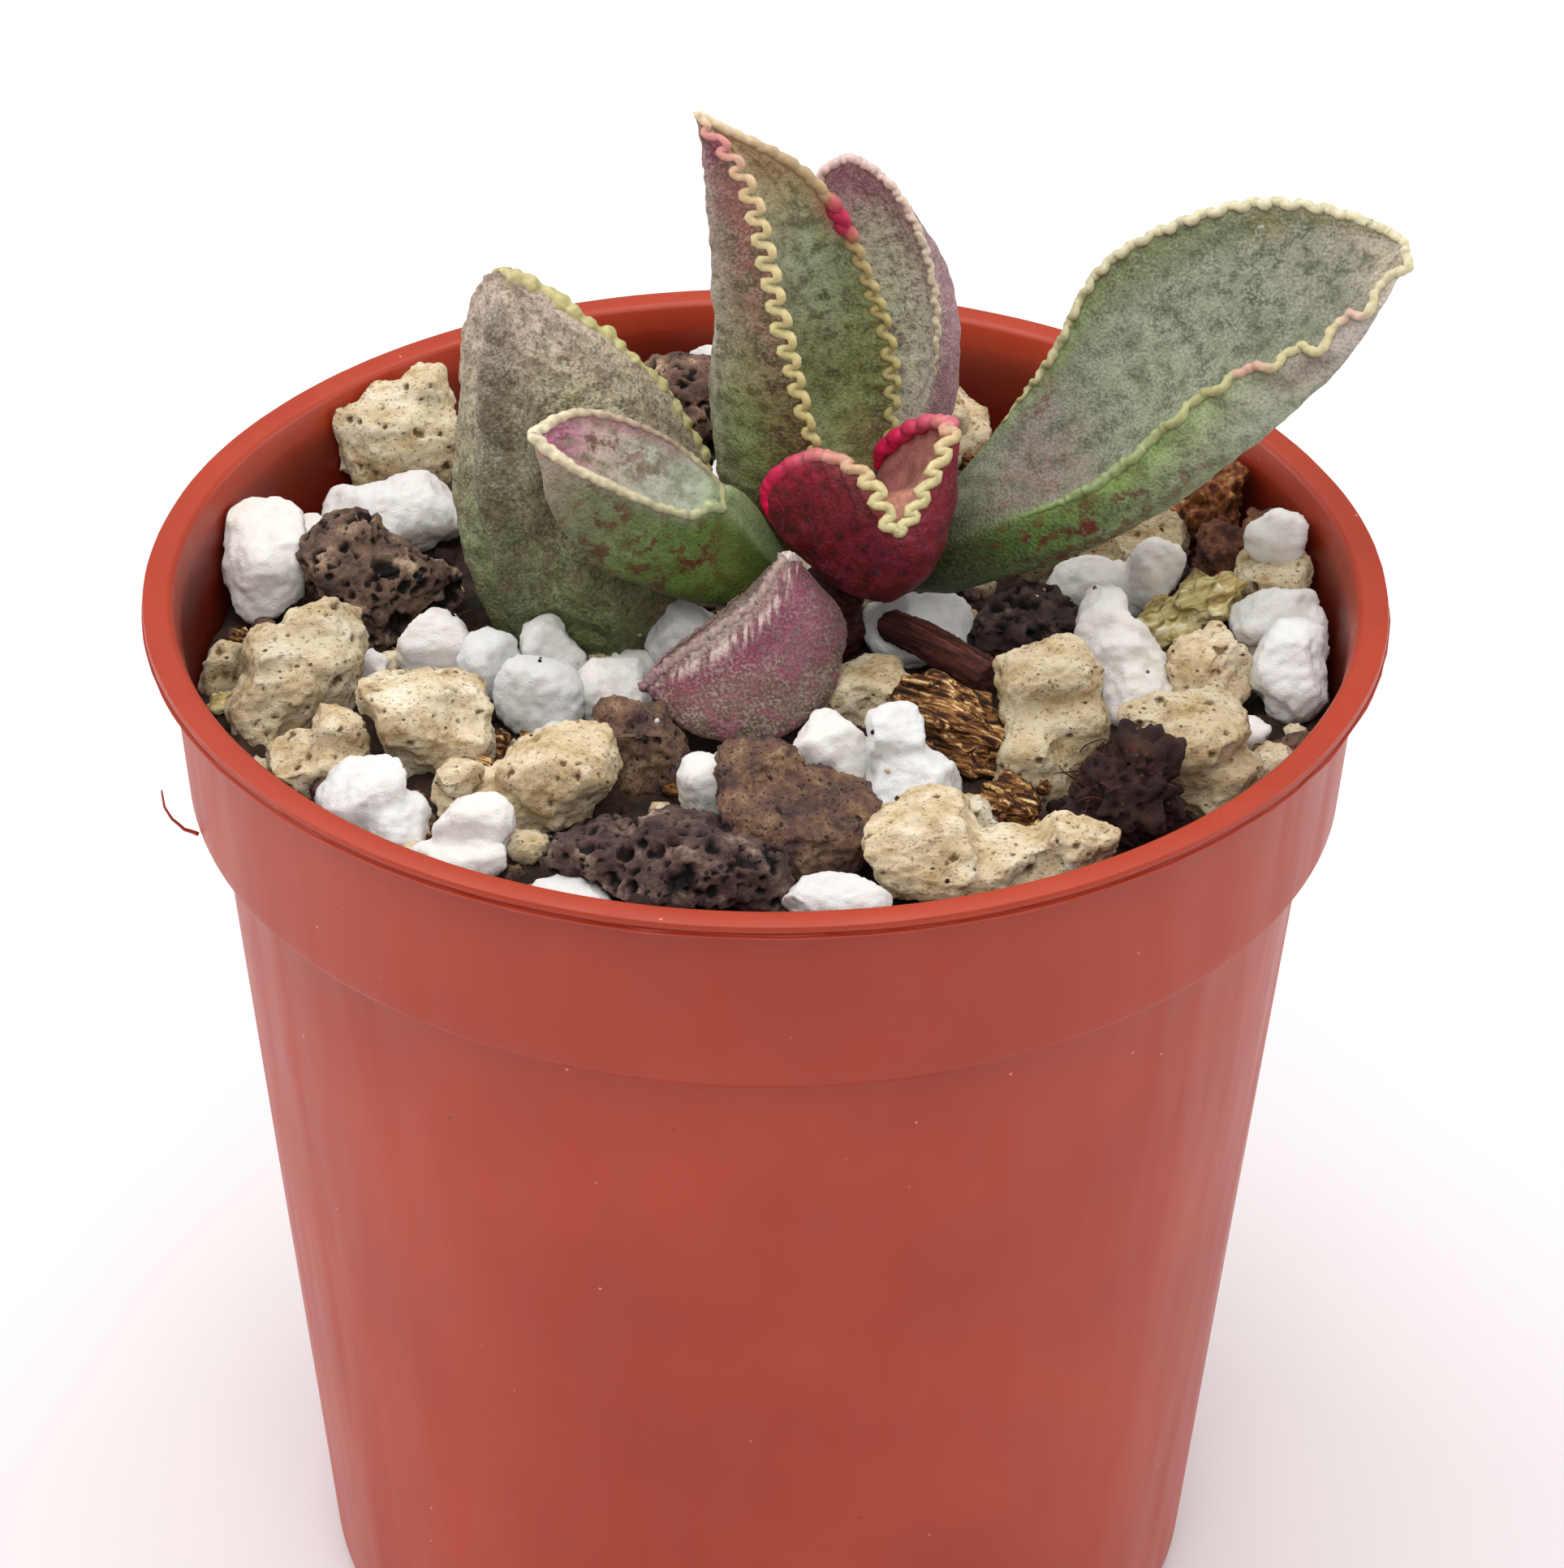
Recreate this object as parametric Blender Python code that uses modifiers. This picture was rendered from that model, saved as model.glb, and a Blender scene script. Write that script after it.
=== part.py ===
"""Potted adromischus: a young succulent in a round moulded nursery pot.

Metres, +Z up.  The origin is the middle of the pot's foot, on the surface that
it stands on.  Lengths below are written in millimetres and multiplied by MM.
"""

import math
import random

import bmesh
import bpy
from mathutils import Euler, Vector, noise

MM = 0.001
GAP = 0.3                      # clearance between pieces that touch

# Pot, a standard 5.5 cm nursery pot
RIM_RADIUS = 27.5
POT_HEIGHT = 52.0
WALL = 0.65
LIP_WIDTH = 1.35
LIP_DEPTH = 0.6
LIP_ROUND = 0.3
COLLAR_TOP_RADIUS = 26.45
COLLAR_FOOT_RADIUS = 25.75
COLLAR_DEPTH = 9.4
COLLAR_ROUND = 0.7
STEP_RUN = 1.4                 # height over which the wall steps in under the collar
FILLET = 0.1                   # smallest rounding of the moulding
BODY_TOP_RADIUS = 24.5
BODY_TAPER = 0.1               # radius lost for each millimetre of height
FOOT_ROUND = 1.2
FOOT_RING = 2.4
FLOOR = 0.9
FLOOR_RAISE = 1.3
POT_STEPS = 56
DRAIN_RADIUS = 1.8
DRAIN_CIRCLE = 11.0
DRAIN_COUNT = 6
DRAIN_STEPS = 20

# Soil and stem
SOIL_TOP = 46.0
SOIL_BUMP = 0.25
SOIL_BUMP_WIDTH = 4.0
SOIL_STEPS = 36
SOIL_RINGS = 5
STEM_CENTRE = (3.0, 2.8)
STEM_RADIUS = 1.35
STEM_TOP = 50.6
STEM_FOOT = 42.0
STEM_STEPS = 16
STEM_SCARS = 9
SCAR_DEPTH = 0.12
STEM_HOLE_RADIUS = 1.85
LEAF_HOLE_RADII = (2.4, 4.4)   # at the foot of the buried leaf and above the soil

# Leaves: each is a loft between two margins (near and far) and the line of its
# back, from the foot of its stalk to its tip.  hollow is how far the upper face
# sinks towards the back: below 0 it bulges, as on the stalk.
LEAF_EDGE = 0.65
TIP_SPREAD = 1.3               # above 1 it sets the rings closer at the tip
WAVE_KEENNESS = 12             # how closely the waves keep to the margins
LEAVES = {
    "leaf_tall": dict(
        base=(1.7, 3.9, 51.1), stalk=0.75, tip=(-3.2, 4.2, 72.8), pointed=True,
        near=[(2.5, 2.5, 54.7), (1.5, 2.2, 59.4), (0.4, 2.2, 64.1), (-1.0, 3.2, 69.7)],
        far=[(5.1, 6.0, 54.4), (5.6, 7.0, 58.3), (4.7, 7.0, 62.6), (2.0, 5.8, 68.8)],
        back=[(-1.5, 4.6, 53.8), (-2.1, 5.0, 58.0), (-1.9, 5.0, 63.4), (-2.3, 4.6, 68.8)],
        hollow=(-0.9, 0.45, 0.7, 0.7, 0.55, 0.2), waves=9, wave=0.25, around=16, along=40),
    "leaf_back": dict(
        base=(4.2, 5.1, 51.0), stalk=0.6, tip=(3.6, 9.6, 68.0),
        near=[(2.4, 8.4, 56.0), (1.4, 9.0, 60.0), (1.3, 9.2, 64.4), (2.1, 9.4, 67.3)],
        far=[(6.9, 7.2, 56.2), (7.6, 7.8, 60.0), (7.1, 8.6, 63.7), (5.6, 9.2, 66.7)],
        back=[(6.5, 9.2, 53.0), (7.1, 10.4, 56.9), (6.4, 10.8, 61.7), (4.7, 10.4, 65.4)],
        hollow=(-0.9, 0.3, 0.45, 0.45, 0.4, 0.2), waves=9, wave=0.2, around=14, along=36),
    "leaf_right": dict(
        base=(5.0, 3.3, 50.5), stalk=0.7, tip=(27.6, 3.6, 67.1),
        near=[(9.3, 1.8, 53.5), (14.5, 0.6, 56.6), (19.5, 0.8, 61.4), (24.5, 1.6, 63.7)],
        far=[(8.4, 5.2, 54.3), (12.3, 6.4, 59.6), (15.2, 8.0, 64.2), (21.8, 7.4, 67.3)],
        back=[(9.2, 3.0, 50.2), (15.4, 2.2, 54.2), (21.0, 2.2, 59.2), (24.8, 2.6, 63.8)],
        hollow=(-0.9, -0.2, 0.3, 0.45, 0.35, 0.1), waves=12, wave=0.22, around=16, along=44),
    "leaf_left": dict(
        base=(-7.4, 3.6, 44.6), stalk=1.5, tip=(-11.7, 5.0, 64.6),
        near=[(-2.9, 3.2, 49.2), (-2.4, 3.4, 54.8), (-4.6, 3.8, 59.6), (-8.2, 4.4, 62.7)],
        far=[(-12.6, 6.6, 48.0), (-13.6, 8.0, 52.8), (-13.4, 7.8, 58.0), (-12.8, 6.8, 62.2)],
        back=[(-9.2, 1.4, 48.0), (-10.0, 0.8, 54.0), (-10.6, 1.8, 59.7), (-11.5, 3.4, 62.9)],
        hollow=(-0.7, 0.1, 0.3, 0.35, 0.3, 0.1), waves=9, wave=0.25, around=16, along=40),
    "leaf_club": dict(
        base=(1.2, 2.1, 50.9), stalk=0.6, tip=(-10.1, -1.2, 59.9),
        near=[(-1.9, -1.0, 56.0), (-3.5, -2.0, 56.3), (-6.5, -2.4, 57.8), (-8.8, -2.2, 59.0)],
        far=[(-2.0, 1.0, 56.2), (-3.8, 1.0, 58.2), (-6.2, 0.6, 59.8), (-8.5, 0.0, 60.5)],
        back=[(-1.6, -0.2, 50.8), (-5.1, -1.4, 52.5), (-7.6, -1.8, 54.5), (-9.4, -1.6, 56.8)],
        hollow=(-0.9, -0.1, 0.06, 0.08, 0.05, 0.0), waves=8, wave=0.1, around=14, along=32),
    "leaf_young": dict(
        base=(3.4, 2.5, 51.2), stalk=0.5, tip=(5.8, -1.6, 55.5),
        near=[(0.6, 1.2, 53.6), (-0.2, 1.5, 55.8), (1.9, 0.7, 57.9), (4.2, -0.4, 57.4)],
        far=[(4.6, 4.2, 53.2), (5.2, 4.6, 55.9), (7.1, 3.6, 58.1), (8.2, 1.4, 58.8)],
        back=[(5.0, 1.0, 50.9), (5.7, 0.3, 50.9), (6.6, -0.5, 52.1), (6.8, -1.4, 54.0)],
        hollow=(-0.9, 0.2, 0.4, 0.4, 0.35, 0.1), waves=7, wave=0.2, around=14, along=32),
    "leaf_half": dict(
        base=(2.6, 0.9, 50.4), stalk=0.55, tip=(-5.3, -5.4, 49.7),
        near=[(1.1, -1.0, 53.8), (-0.3, -2.6, 52.5), (-2.2, -4.0, 51.6), (-4.1, -5.2, 50.7)],
        far=[(0.6, 0.2, 52.8), (-1.0, -1.0, 52.0), (-2.9, -2.4, 50.9), (-4.6, -4.2, 50.4)],
        back=[(3.5, -1.8, 50.7), (2.9, -4.4, 48.7), (0.3, -6.4, 47.7), (-2.9, -7.0, 48.3)],
        hollow=(-0.9, 0.0, 0.1, 0.1, 0.1, 0.0), waves=8, wave=0.08, around=14, along=32),
}

# Twig lying on the grains
TWIG_ENDS = ((5.2, 2.2, 49.3), (9.6, -3.4, 50.2))
TWIG_RADIUS = 0.65
TWIG_POINTS = 5
TWIG_BOW = 0.15

# Grains: kind, x, y, length, width, top of the grain, turn in degrees
GRAIN_FOOT = SOIL_TOP + GAP
GRAINS = [
    ("pumice", -18.4, 17.4, 8.6, 5.4, 51.9, 10),
    ("perlite", -23.2, 6.8, 4.6, 4.6, 50.8, 0),
    ("perlite", -17.2, 12.0, 5.6, 3.8, 50.0, 6),
    ("lava", -17.6, 5.0, 7.2, 5.8, 51.0, -6),
    ("pumice", -20.4, -2.8, 4.8, 7.4, 50.9, -28),
    ("pumice", -19.2, -8.6, 4.4, 3.8, 49.8, 20),
    ("pumice", -14.6, -6.6, 6.4, 5.2, 50.4, -12),
    ("perlite", -15.0, 0.4, 3.8, 2.8, 49.6, 0),
    ("perlite", -12.2, -1.4, 2.8, 3.0, 49.6, 0),
    ("perlite", -9.6, -0.6, 2.8, 2.6, 49.6, 0),
    ("perlite", -9.8, -3.8, 3.8, 2.8, 49.6, 8),
    ("perlite", -6.6, -3.0, 3.2, 3.4, 49.5, 0),
    ("perlite", -3.6, 1.4, 3.8, 3.6, 49.8, 0),
    ("scoria", -5.4, -7.4, 4.0, 4.0, 49.4, 20),
    ("pumice", -10.0, -11.2, 7.4, 5.2, 50.3, 12),
    ("perlite", -16.6, -13.0, 4.8, 3.6, 49.9, -24),
    ("perlite", -12.6, -15.6, 4.2, 3.6, 49.4, -10),
    ("lava", -3.9, -17.0, 9.8, 5.0, 50.0, -6),
    ("perlite", -2.2, -11.0, 3.0, 3.0, 49.4, 0),
    ("scoria", 1.0, -13.9, 7.0, 5.8, 50.6, -8),
    ("perlite", 3.0, -20.0, 4.6, 3.0, 49.6, 4),
    ("perlite", 2.9, -8.0, 3.2, 3.4, 49.6, 0),
    ("perlite", 6.2, -9.8, 4.0, 4.6, 50.3, 12),
    ("pumice", 9.6, -16.4, 9.8, 5.0, 50.3, 8),
    ("pumice", 4.7, -3.0, 4.4, 3.6, 49.4, 0),
    ("bark", 8.6, -6.2, 5.2, 3.2, 49.9, -38),
    ("pumice", 12.4, -6.8, 4.8, 7.2, 50.9, -4),
    ("perlite", 7.2, 3.2, 6.6, 3.6, 49.2, 8),
    ("lava", 11.4, 2.4, 4.8, 3.8, 49.8, 0),
    ("perlite", 15.8, 6.6, 5.4, 3.4, 50.0, 12),
    ("pumice", 13.2, 10.4, 6.0, 4.0, 50.0, 16),
    ("perlite", 16.0, -1.0, 3.6, 6.4, 50.4, 24),
    ("pumice", 19.8, -1.4, 4.2, 4.6, 50.1, 0),
    ("perlite", 23.4, -1.6, 4.2, 4.4, 50.3, 10),
    ("perlite", 22.6, 2.6, 4.0, 2.8, 50.1, 10),
    ("pumice", 23.3, 6.2, 4.2, 3.2, 50.2, 18),
    ("flake", 19.2, 3.6, 5.0, 2.4, 49.9, 24),
    ("bark", 20.2, 12.6, 4.2, 3.6, 50.2, 0),
    ("scoria", 20.6, 8.6, 3.6, 3.0, 49.6, 30),
    ("pumice", 18.4, -8.6, 5.6, 5.6, 50.6, 30),
    ("peat", 15.2, -12.6, 4.4, 4.2, 50.7, 20),
    ("lava", -4.0, 22.0, 4.6, 4.2, 50.9, 0),
]

# Grains behind the leaves, laid by a rule on what is left of the surface
FILL_SEED = 4
FILL_COUNT = 7
FILL_KINDS = ("pumice", "perlite", "pumice", "lava")
FILL_SIZE = (5.4, 7.2)
FILL_WIDTH = 0.8               # width for each millimetre of length
FILL_TOPS = (49.6, 50.6)
FILL_REACH = 22.0
FILL_TRIES = 400
LEAF_FOOT_CLEARANCE = 5.0
LEAF_GAP = 0.36                # from a leaf's points, a little over GAP
MOST_CUTS = 14                 # of one grain, at the leaves and the stem

# How square a kind of grain is (1 is an ellipsoid) and how lumpy
GRAIN_FORM = {
    "pumice": (0.72, 0.13),
    "perlite": (0.85, 0.10),
    "lava": (0.80, 0.14),
    "scoria": (0.80, 0.12),
    "bark": (0.60, 0.10),
    "flake": (0.65, 0.10),
    "peat": (0.90, 0.18),
}
GRAIN_REACH = 1.25             # furthest that a lump stands past its half size
GRAIN_FULLNESS = 1.08          # facets cut inside a grain's true outline
LUMP_SCALE = 1.7
WALL_TURNS = (-24, -12, 0, 12, 24)
SMALLEST_EDGE = 0.06
SHARP_ANGLE = 40

# Colour (linear), roughness and metallic value of each material
MATERIALS = {
    "moulded_plastic": ((0.45, 0.085, 0.045), 0.42, 0.0),
    "potting_mix": ((0.035, 0.022, 0.016), 0.95, 0.0),
    "woody_stem": ((0.10, 0.055, 0.035), 0.8, 0.0),
    "green_leaf": ((0.19, 0.25, 0.13), 0.55, 0.0),
    "grey_leaf": ((0.22, 0.19, 0.16), 0.6, 0.0),
    "crimson_leaf": ((0.22, 0.02, 0.05), 0.5, 0.0),
    "pink_leaf": ((0.32, 0.16, 0.19), 0.6, 0.0),
    "pumice": ((0.70, 0.56, 0.34), 0.9, 0.0),
    "perlite": ((0.85, 0.85, 0.83), 0.85, 0.0),
    "lava": ((0.05, 0.04, 0.038), 0.9, 0.0),
    "scoria": ((0.12, 0.075, 0.055), 0.9, 0.0),
    "bark": ((0.22, 0.10, 0.03), 0.7, 0.0),
    "flake": ((0.35, 0.26, 0.08), 0.5, 0.0),
    "peat": ((0.03, 0.014, 0.012), 0.95, 0.0),
}
LEAF_MATERIAL = {
    "leaf_tall": "green_leaf", "leaf_back": "grey_leaf", "leaf_right": "green_leaf",
    "leaf_left": "grey_leaf", "leaf_club": "green_leaf",
    "leaf_young": "crimson_leaf", "leaf_half": "pink_leaf",
}


def clear_scene():
    for obj in list(bpy.data.objects):
        bpy.data.objects.remove(obj, do_unlink=True)


def make_collection(name):
    collection = bpy.data.collections.new(name)
    bpy.context.scene.collection.children.link(collection)
    return collection


def make_materials():
    made = {}
    for name, (colour, roughness, metallic) in MATERIALS.items():
        material = bpy.data.materials.new(name)
        material.use_nodes = True
        shader = material.node_tree.nodes["Principled BSDF"]
        shader.inputs["Base Color"].default_value = (*colour, 1.0)
        shader.inputs["Roughness"].default_value = roughness
        shader.inputs["Metallic"].default_value = metallic
        made[name] = material
    return made


def add_object(name, mesh, material=None):
    """A named object in the plant's collection, in its material."""
    obj = bpy.data.objects.new(name, mesh)
    plant.objects.link(obj)
    if material is not None:
        obj.data.materials.append(materials[material])
    return obj


def from_bmesh(name, bm, material):
    """Turn a bmesh in millimetres into a smooth-shaded object in metres."""
    bmesh.ops.scale(bm, vec=(MM, MM, MM), verts=bm.verts)
    mesh = bpy.data.meshes.new(name)
    bm.to_mesh(mesh)
    bm.free()
    mesh.shade_smooth()
    mesh.set_sharp_from_angle(angle=math.radians(SHARP_ANGLE))
    return add_object(name, mesh, material)


def turned(name, profile, steps, material):
    """A body turned about Z.  The profile starts and ends on the axis."""
    mesh = bpy.data.meshes.new(name)
    points = [(r * MM, 0.0, z * MM) for r, z in profile]
    mesh.from_pydata(points, [(i, i + 1) for i in range(len(points) - 1)], [])
    obj = add_object(name, mesh, material)
    screw = obj.modifiers.new("turn", "SCREW")
    screw.steps = steps
    screw.render_steps = steps
    screw.use_merge_vertices = True
    screw.merge_threshold = 0.0001
    screw.use_smooth_shade = True
    return obj


def applied(obj):
    """Replace an object's mesh by what its modifiers make of it."""
    depsgraph = bpy.context.evaluated_depsgraph_get()
    mesh = bpy.data.meshes.new_from_object(obj.evaluated_get(depsgraph))
    mesh.name = obj.name
    obj.modifiers.clear()
    obj.data = mesh
    return obj


def cut(obj, cutter):
    """Subtract a cutter, which stays in the cutters' collection."""
    cutter.hide_render = True
    cutter.display_type = "WIRE"
    for collection in list(cutter.users_collection):
        collection.objects.unlink(cutter)
    cutters.objects.link(cutter)
    modifier = obj.modifiers.new(cutter.name, "BOOLEAN")
    modifier.operation = "DIFFERENCE"
    modifier.solver = "EXACT"
    modifier.object = cutter


def cone_cutter(name, x, y, bottom, top, bottom_radius, top_radius):
    bpy.ops.mesh.primitive_cone_add(
        vertices=DRAIN_STEPS, radius1=bottom_radius * MM, radius2=top_radius * MM,
        depth=(top - bottom) * MM, location=(x * MM, y * MM, (bottom + top) / 2 * MM))
    cutter = bpy.context.object
    cutter.name = name
    return cutter


def body_radius(z):
    """Outer radius of the pot's tapered body at a height."""
    return BODY_TOP_RADIUS - BODY_TAPER * (POT_HEIGHT - COLLAR_DEPTH - z)


def collar_radius(z):
    """Outer radius of the pot's collar at a height."""
    part = (POT_HEIGHT - z) / COLLAR_DEPTH
    return COLLAR_TOP_RADIUS + (COLLAR_FOOT_RADIUS - COLLAR_TOP_RADIUS) * part


def arc(centre_r, centre_z, radius, start, end, count):
    """Points of a rounded corner, angles in degrees from +r towards +z."""
    points = []
    for i in range(count):
        angle = math.radians(start + (end - start) * i / (count - 1))
        points.append((centre_r + radius * math.cos(angle), centre_z + radius * math.sin(angle)))
    return points


def make_pot():
    """Pot with a flat lip, a deep collar, a tapered body and a raised floor."""
    step = POT_HEIGHT - COLLAR_DEPTH
    lip_bottom = POT_HEIGHT - LIP_DEPTH
    foot_wall = body_radius(FOOT_ROUND)
    ring_inner = foot_wall - FOOT_ROUND - FOOT_RING
    floor_top = FLOOR_RAISE + FLOOR
    inside = [
        (0.0, floor_top),
        (ring_inner - FLOOR, floor_top),
        (ring_inner + FILLET, FLOOR),
        (body_radius(FLOOR) - WALL, FLOOR + 2 * FILLET),
        (body_radius(step - STEP_RUN) - WALL, step - STEP_RUN),
        (BODY_TOP_RADIUS - WALL + 2 * FILLET, step - STEP_RUN / 2),
        (COLLAR_FOOT_RADIUS - WALL, step + STEP_RUN / 3),
        (collar_radius(lip_bottom) - WALL + FILLET, lip_bottom - LIP_DEPTH),
        (RIM_RADIUS - LIP_WIDTH, POT_HEIGHT - 2 * FILLET),
    ]
    outside = [
        (RIM_RADIUS - LIP_WIDTH + 2 * FILLET, POT_HEIGHT),
        *arc(RIM_RADIUS - LIP_ROUND, POT_HEIGHT - LIP_ROUND, LIP_ROUND, 90, -70, 4),
        (COLLAR_TOP_RADIUS + FILLET, lip_bottom - FILLET),
        (COLLAR_TOP_RADIUS, lip_bottom - 4 * FILLET),
        (COLLAR_FOOT_RADIUS, step + COLLAR_ROUND),
        *arc(COLLAR_FOOT_RADIUS - COLLAR_ROUND, step + COLLAR_ROUND, COLLAR_ROUND, -20, -75, 3),
        (BODY_TOP_RADIUS, step - COLLAR_ROUND),
        (foot_wall, FOOT_ROUND),
        *arc(foot_wall - FOOT_ROUND, FOOT_ROUND, FOOT_ROUND, -30, -90, 3),
        (ring_inner, 0.0),
        (ring_inner - FLOOR, FLOOR_RAISE),
        (0.0, FLOOR_RAISE),
    ]
    pot = turned("pot", inside + outside, POT_STEPS, "moulded_plastic")
    drains = [(0.0, 0.0)]
    for i in range(DRAIN_COUNT):
        angle = math.tau * i / DRAIN_COUNT
        drains.append((DRAIN_CIRCLE * math.cos(angle), DRAIN_CIRCLE * math.sin(angle)))
    for i, (x, y) in enumerate(drains):
        bottom, top = FLOOR_RAISE - FLOOR, floor_top + FLOOR
        cut(pot, cone_cutter(f"drain_{i}", x, y, bottom, top, DRAIN_RADIUS, DRAIN_RADIUS))


def inner_radius(z):
    """Radius of the pot's inside at a height."""
    step = POT_HEIGHT - COLLAR_DEPTH
    if z < step:
        return body_radius(z) - WALL
    return collar_radius(z) - WALL


def make_soil(holes):
    """Soil that fills the pot to a bumpy top, with a hole for what stands in it."""
    step = POT_HEIGHT - COLLAR_DEPTH
    foot = FLOOR_RAISE + FLOOR + GAP
    top = SOIL_TOP - SOIL_BUMP
    profile = [(0.0, top)]
    rim = inner_radius(top) - GAP
    for ring in range(1, SOIL_RINGS + 1):
        profile.append((rim * ring / SOIL_RINGS, top))
    profile += [
        (COLLAR_FOOT_RADIUS - WALL - 2 * GAP, step + STEP_RUN),
        (inner_radius(step - STEP_RUN - GAP) - GAP, step - STEP_RUN - GAP),
        (inner_radius(foot) - GAP, foot),
        (0.0, foot),
    ]
    soil = applied(turned("soil", profile, SOIL_STEPS, "potting_mix"))
    for vertex in soil.data.vertices:
        radius = math.hypot(vertex.co.x, vertex.co.y)
        if vertex.co.z > (top - GAP) * MM and radius < (rim - GAP) * MM:
            vertex.co.z += SOIL_BUMP * MM * noise.noise(vertex.co / (SOIL_BUMP_WIDTH * MM))
    for i, (x, y, bottom, low, high) in enumerate(holes):
        cut(soil, cone_cutter(f"hole_{i}", x, y, bottom, SOIL_TOP + 1, low, high))


def make_stem():
    """Short woody stem, ringed by old leaf scars."""
    profile = [(0.0, STEM_TOP)]
    for i in range(STEM_SCARS):
        z = STEM_TOP - GAP - (STEM_TOP - STEM_FOOT - 2 * GAP) * i / (STEM_SCARS - 1)
        profile.append((STEM_RADIUS + (SCAR_DEPTH if i % 2 else -SCAR_DEPTH), z))
    profile.append((0.0, STEM_FOOT))
    stem = turned("stem", profile, STEM_STEPS, "woody_stem")
    stem.location = (STEM_CENTRE[0] * MM, STEM_CENTRE[1] * MM, 0.0)


def spline(points, t, beyond=None):
    """Point at t (0 to 1) on a smooth curve through points.

    beyond is the point that the curve would reach next past its end.
    """
    points = [Vector(p) for p in points]
    before = 2 * points[0] - points[1]
    after = 2 * points[-1] - points[-2] if beyond is None else Vector(beyond)
    chain = [before, *points, after]
    spans = len(points) - 1
    place = min(max(t, 0.0), 1.0) * spans
    i = min(int(place), spans - 1)
    f = place - i
    a, b, c, d = chain[i:i + 4]
    return 0.5 * (2 * b + (c - a) * f + (2 * a - 5 * b + 4 * c - d) * f * f
                  + (3 * b - a - 3 * c + d) * f ** 3)


def level(values, t):
    """Value at t (0 to 1) on straight lines between evenly spaced values."""
    place = min(max(t, 0.0), 1.0) * (len(values) - 1)
    i = min(int(place), len(values) - 2)
    return values[i] + (values[i + 1] - values[i]) * (place - i)


def leaf_lines(leaf):
    """The two margins and the back of a leaf, from its stalk to its tip."""
    base = Vector(leaf["base"])
    near, far, back = (Vector(leaf[side][0]) for side in ("near", "far", "back"))
    across = (far - near).normalized() * leaf["stalk"]
    down = (back - (near + far) / 2).normalized() * leaf["stalk"]
    starts = {"near": base - across, "far": base + across, "back": base + down}
    return {side: [starts[side], *leaf[side], leaf["tip"]] for side in starts}


def leaf_point(leaf, lines, t, phi):
    """Point of a leaf's skin at t along it and the angle phi round its section."""
    if leaf.get("pointed"):
        near_end, far_end = None, None
    else:
        near_end, far_end = lines["far"][-2], lines["near"][-2]
    near = spline(lines["near"], t, near_end)
    far = spline(lines["far"], t, far_end)
    back = spline(lines["back"], t)
    middle = (near + far) / 2
    half = (far - near) / 2
    deep = back - middle
    cosine, sine = math.cos(phi), math.sin(phi)
    if sine >= 0:
        point = middle - half * cosine + deep * sine
    else:
        inset = min(LEAF_EDGE / max(half.length, 1e-6), 0.5) * min(1.0, -3 * sine)
        point = middle - half * cosine * (1 - inset) - deep * level(leaf["hollow"], t) * sine
    fade = cosine ** WAVE_KEENNESS * min(1.0, 4 * t) * min(1.0, 6 * (1 - t))
    swing = math.tau * leaf["waves"] * t
    point += deep.normalized() * leaf["wave"] * fade * math.sin(swing)
    point += half.normalized() * leaf["wave"] * fade * math.cos(swing)
    return point


def make_leaf(name, leaf):
    """A leaf with its waved margins: a sphere whose points are carried to it."""
    lines = leaf_lines(leaf)
    bm = bmesh.new()
    bmesh.ops.create_uvsphere(bm, u_segments=leaf["around"], v_segments=leaf["along"], radius=1.0)
    for vertex in bm.verts:
        x, y, z = vertex.co
        share = math.acos(max(-1.0, min(1.0, z))) / math.pi
        t = 1 - (1 - share) ** TIP_SPREAD
        if share < 1e-4 or share > 1 - 1e-4:
            ends = [spline(lines[side], t) for side in ("near", "far")]
            vertex.co = (ends[0] + ends[1]) / 2
        else:
            vertex.co = leaf_point(leaf, lines, t, math.atan2(y, x))
    bmesh.ops.triangulate(bm, faces=bm.faces, quad_method="FIXED")
    bmesh.ops.recalc_face_normals(bm, faces=bm.faces)
    from_bmesh(name, bm, LEAF_MATERIAL[name])


def make_twig():
    """A bit of dark twig across the grains."""
    start, end = (Vector(p) * MM for p in TWIG_ENDS)
    curve = bpy.data.curves.new("twig", "CURVE")
    curve.dimensions = "3D"
    curve.bevel_depth = TWIG_RADIUS * MM
    curve.bevel_resolution = 2
    curve.use_fill_caps = True
    path = curve.splines.new("POLY")
    path.points.add(TWIG_POINTS - 1)
    for i, point in enumerate(path.points):
        part = i / (TWIG_POINTS - 1)
        place = start.lerp(end, part)
        place.z += TWIG_BOW * MM * math.sin(math.pi * part)
        point.co = (*place, 1.0)
        point.radius = 0.9 + 0.2 * part
    guide = add_object("twig_guide", curve)
    depsgraph = bpy.context.evaluated_depsgraph_get()
    mesh = bpy.data.meshes.new_from_object(guide.evaluated_get(depsgraph))
    bpy.data.objects.remove(guide, do_unlink=True)
    bm = bmesh.new()
    bm.from_mesh(mesh)
    bmesh.ops.remove_doubles(bm, verts=bm.verts, dist=0.01 * MM)
    bmesh.ops.recalc_face_normals(bm, faces=bm.faces)
    bmesh.ops.scale(bm, vec=(1 / MM, 1 / MM, 1 / MM), verts=bm.verts)
    from_bmesh("twig", bm, "woody_stem")


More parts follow.
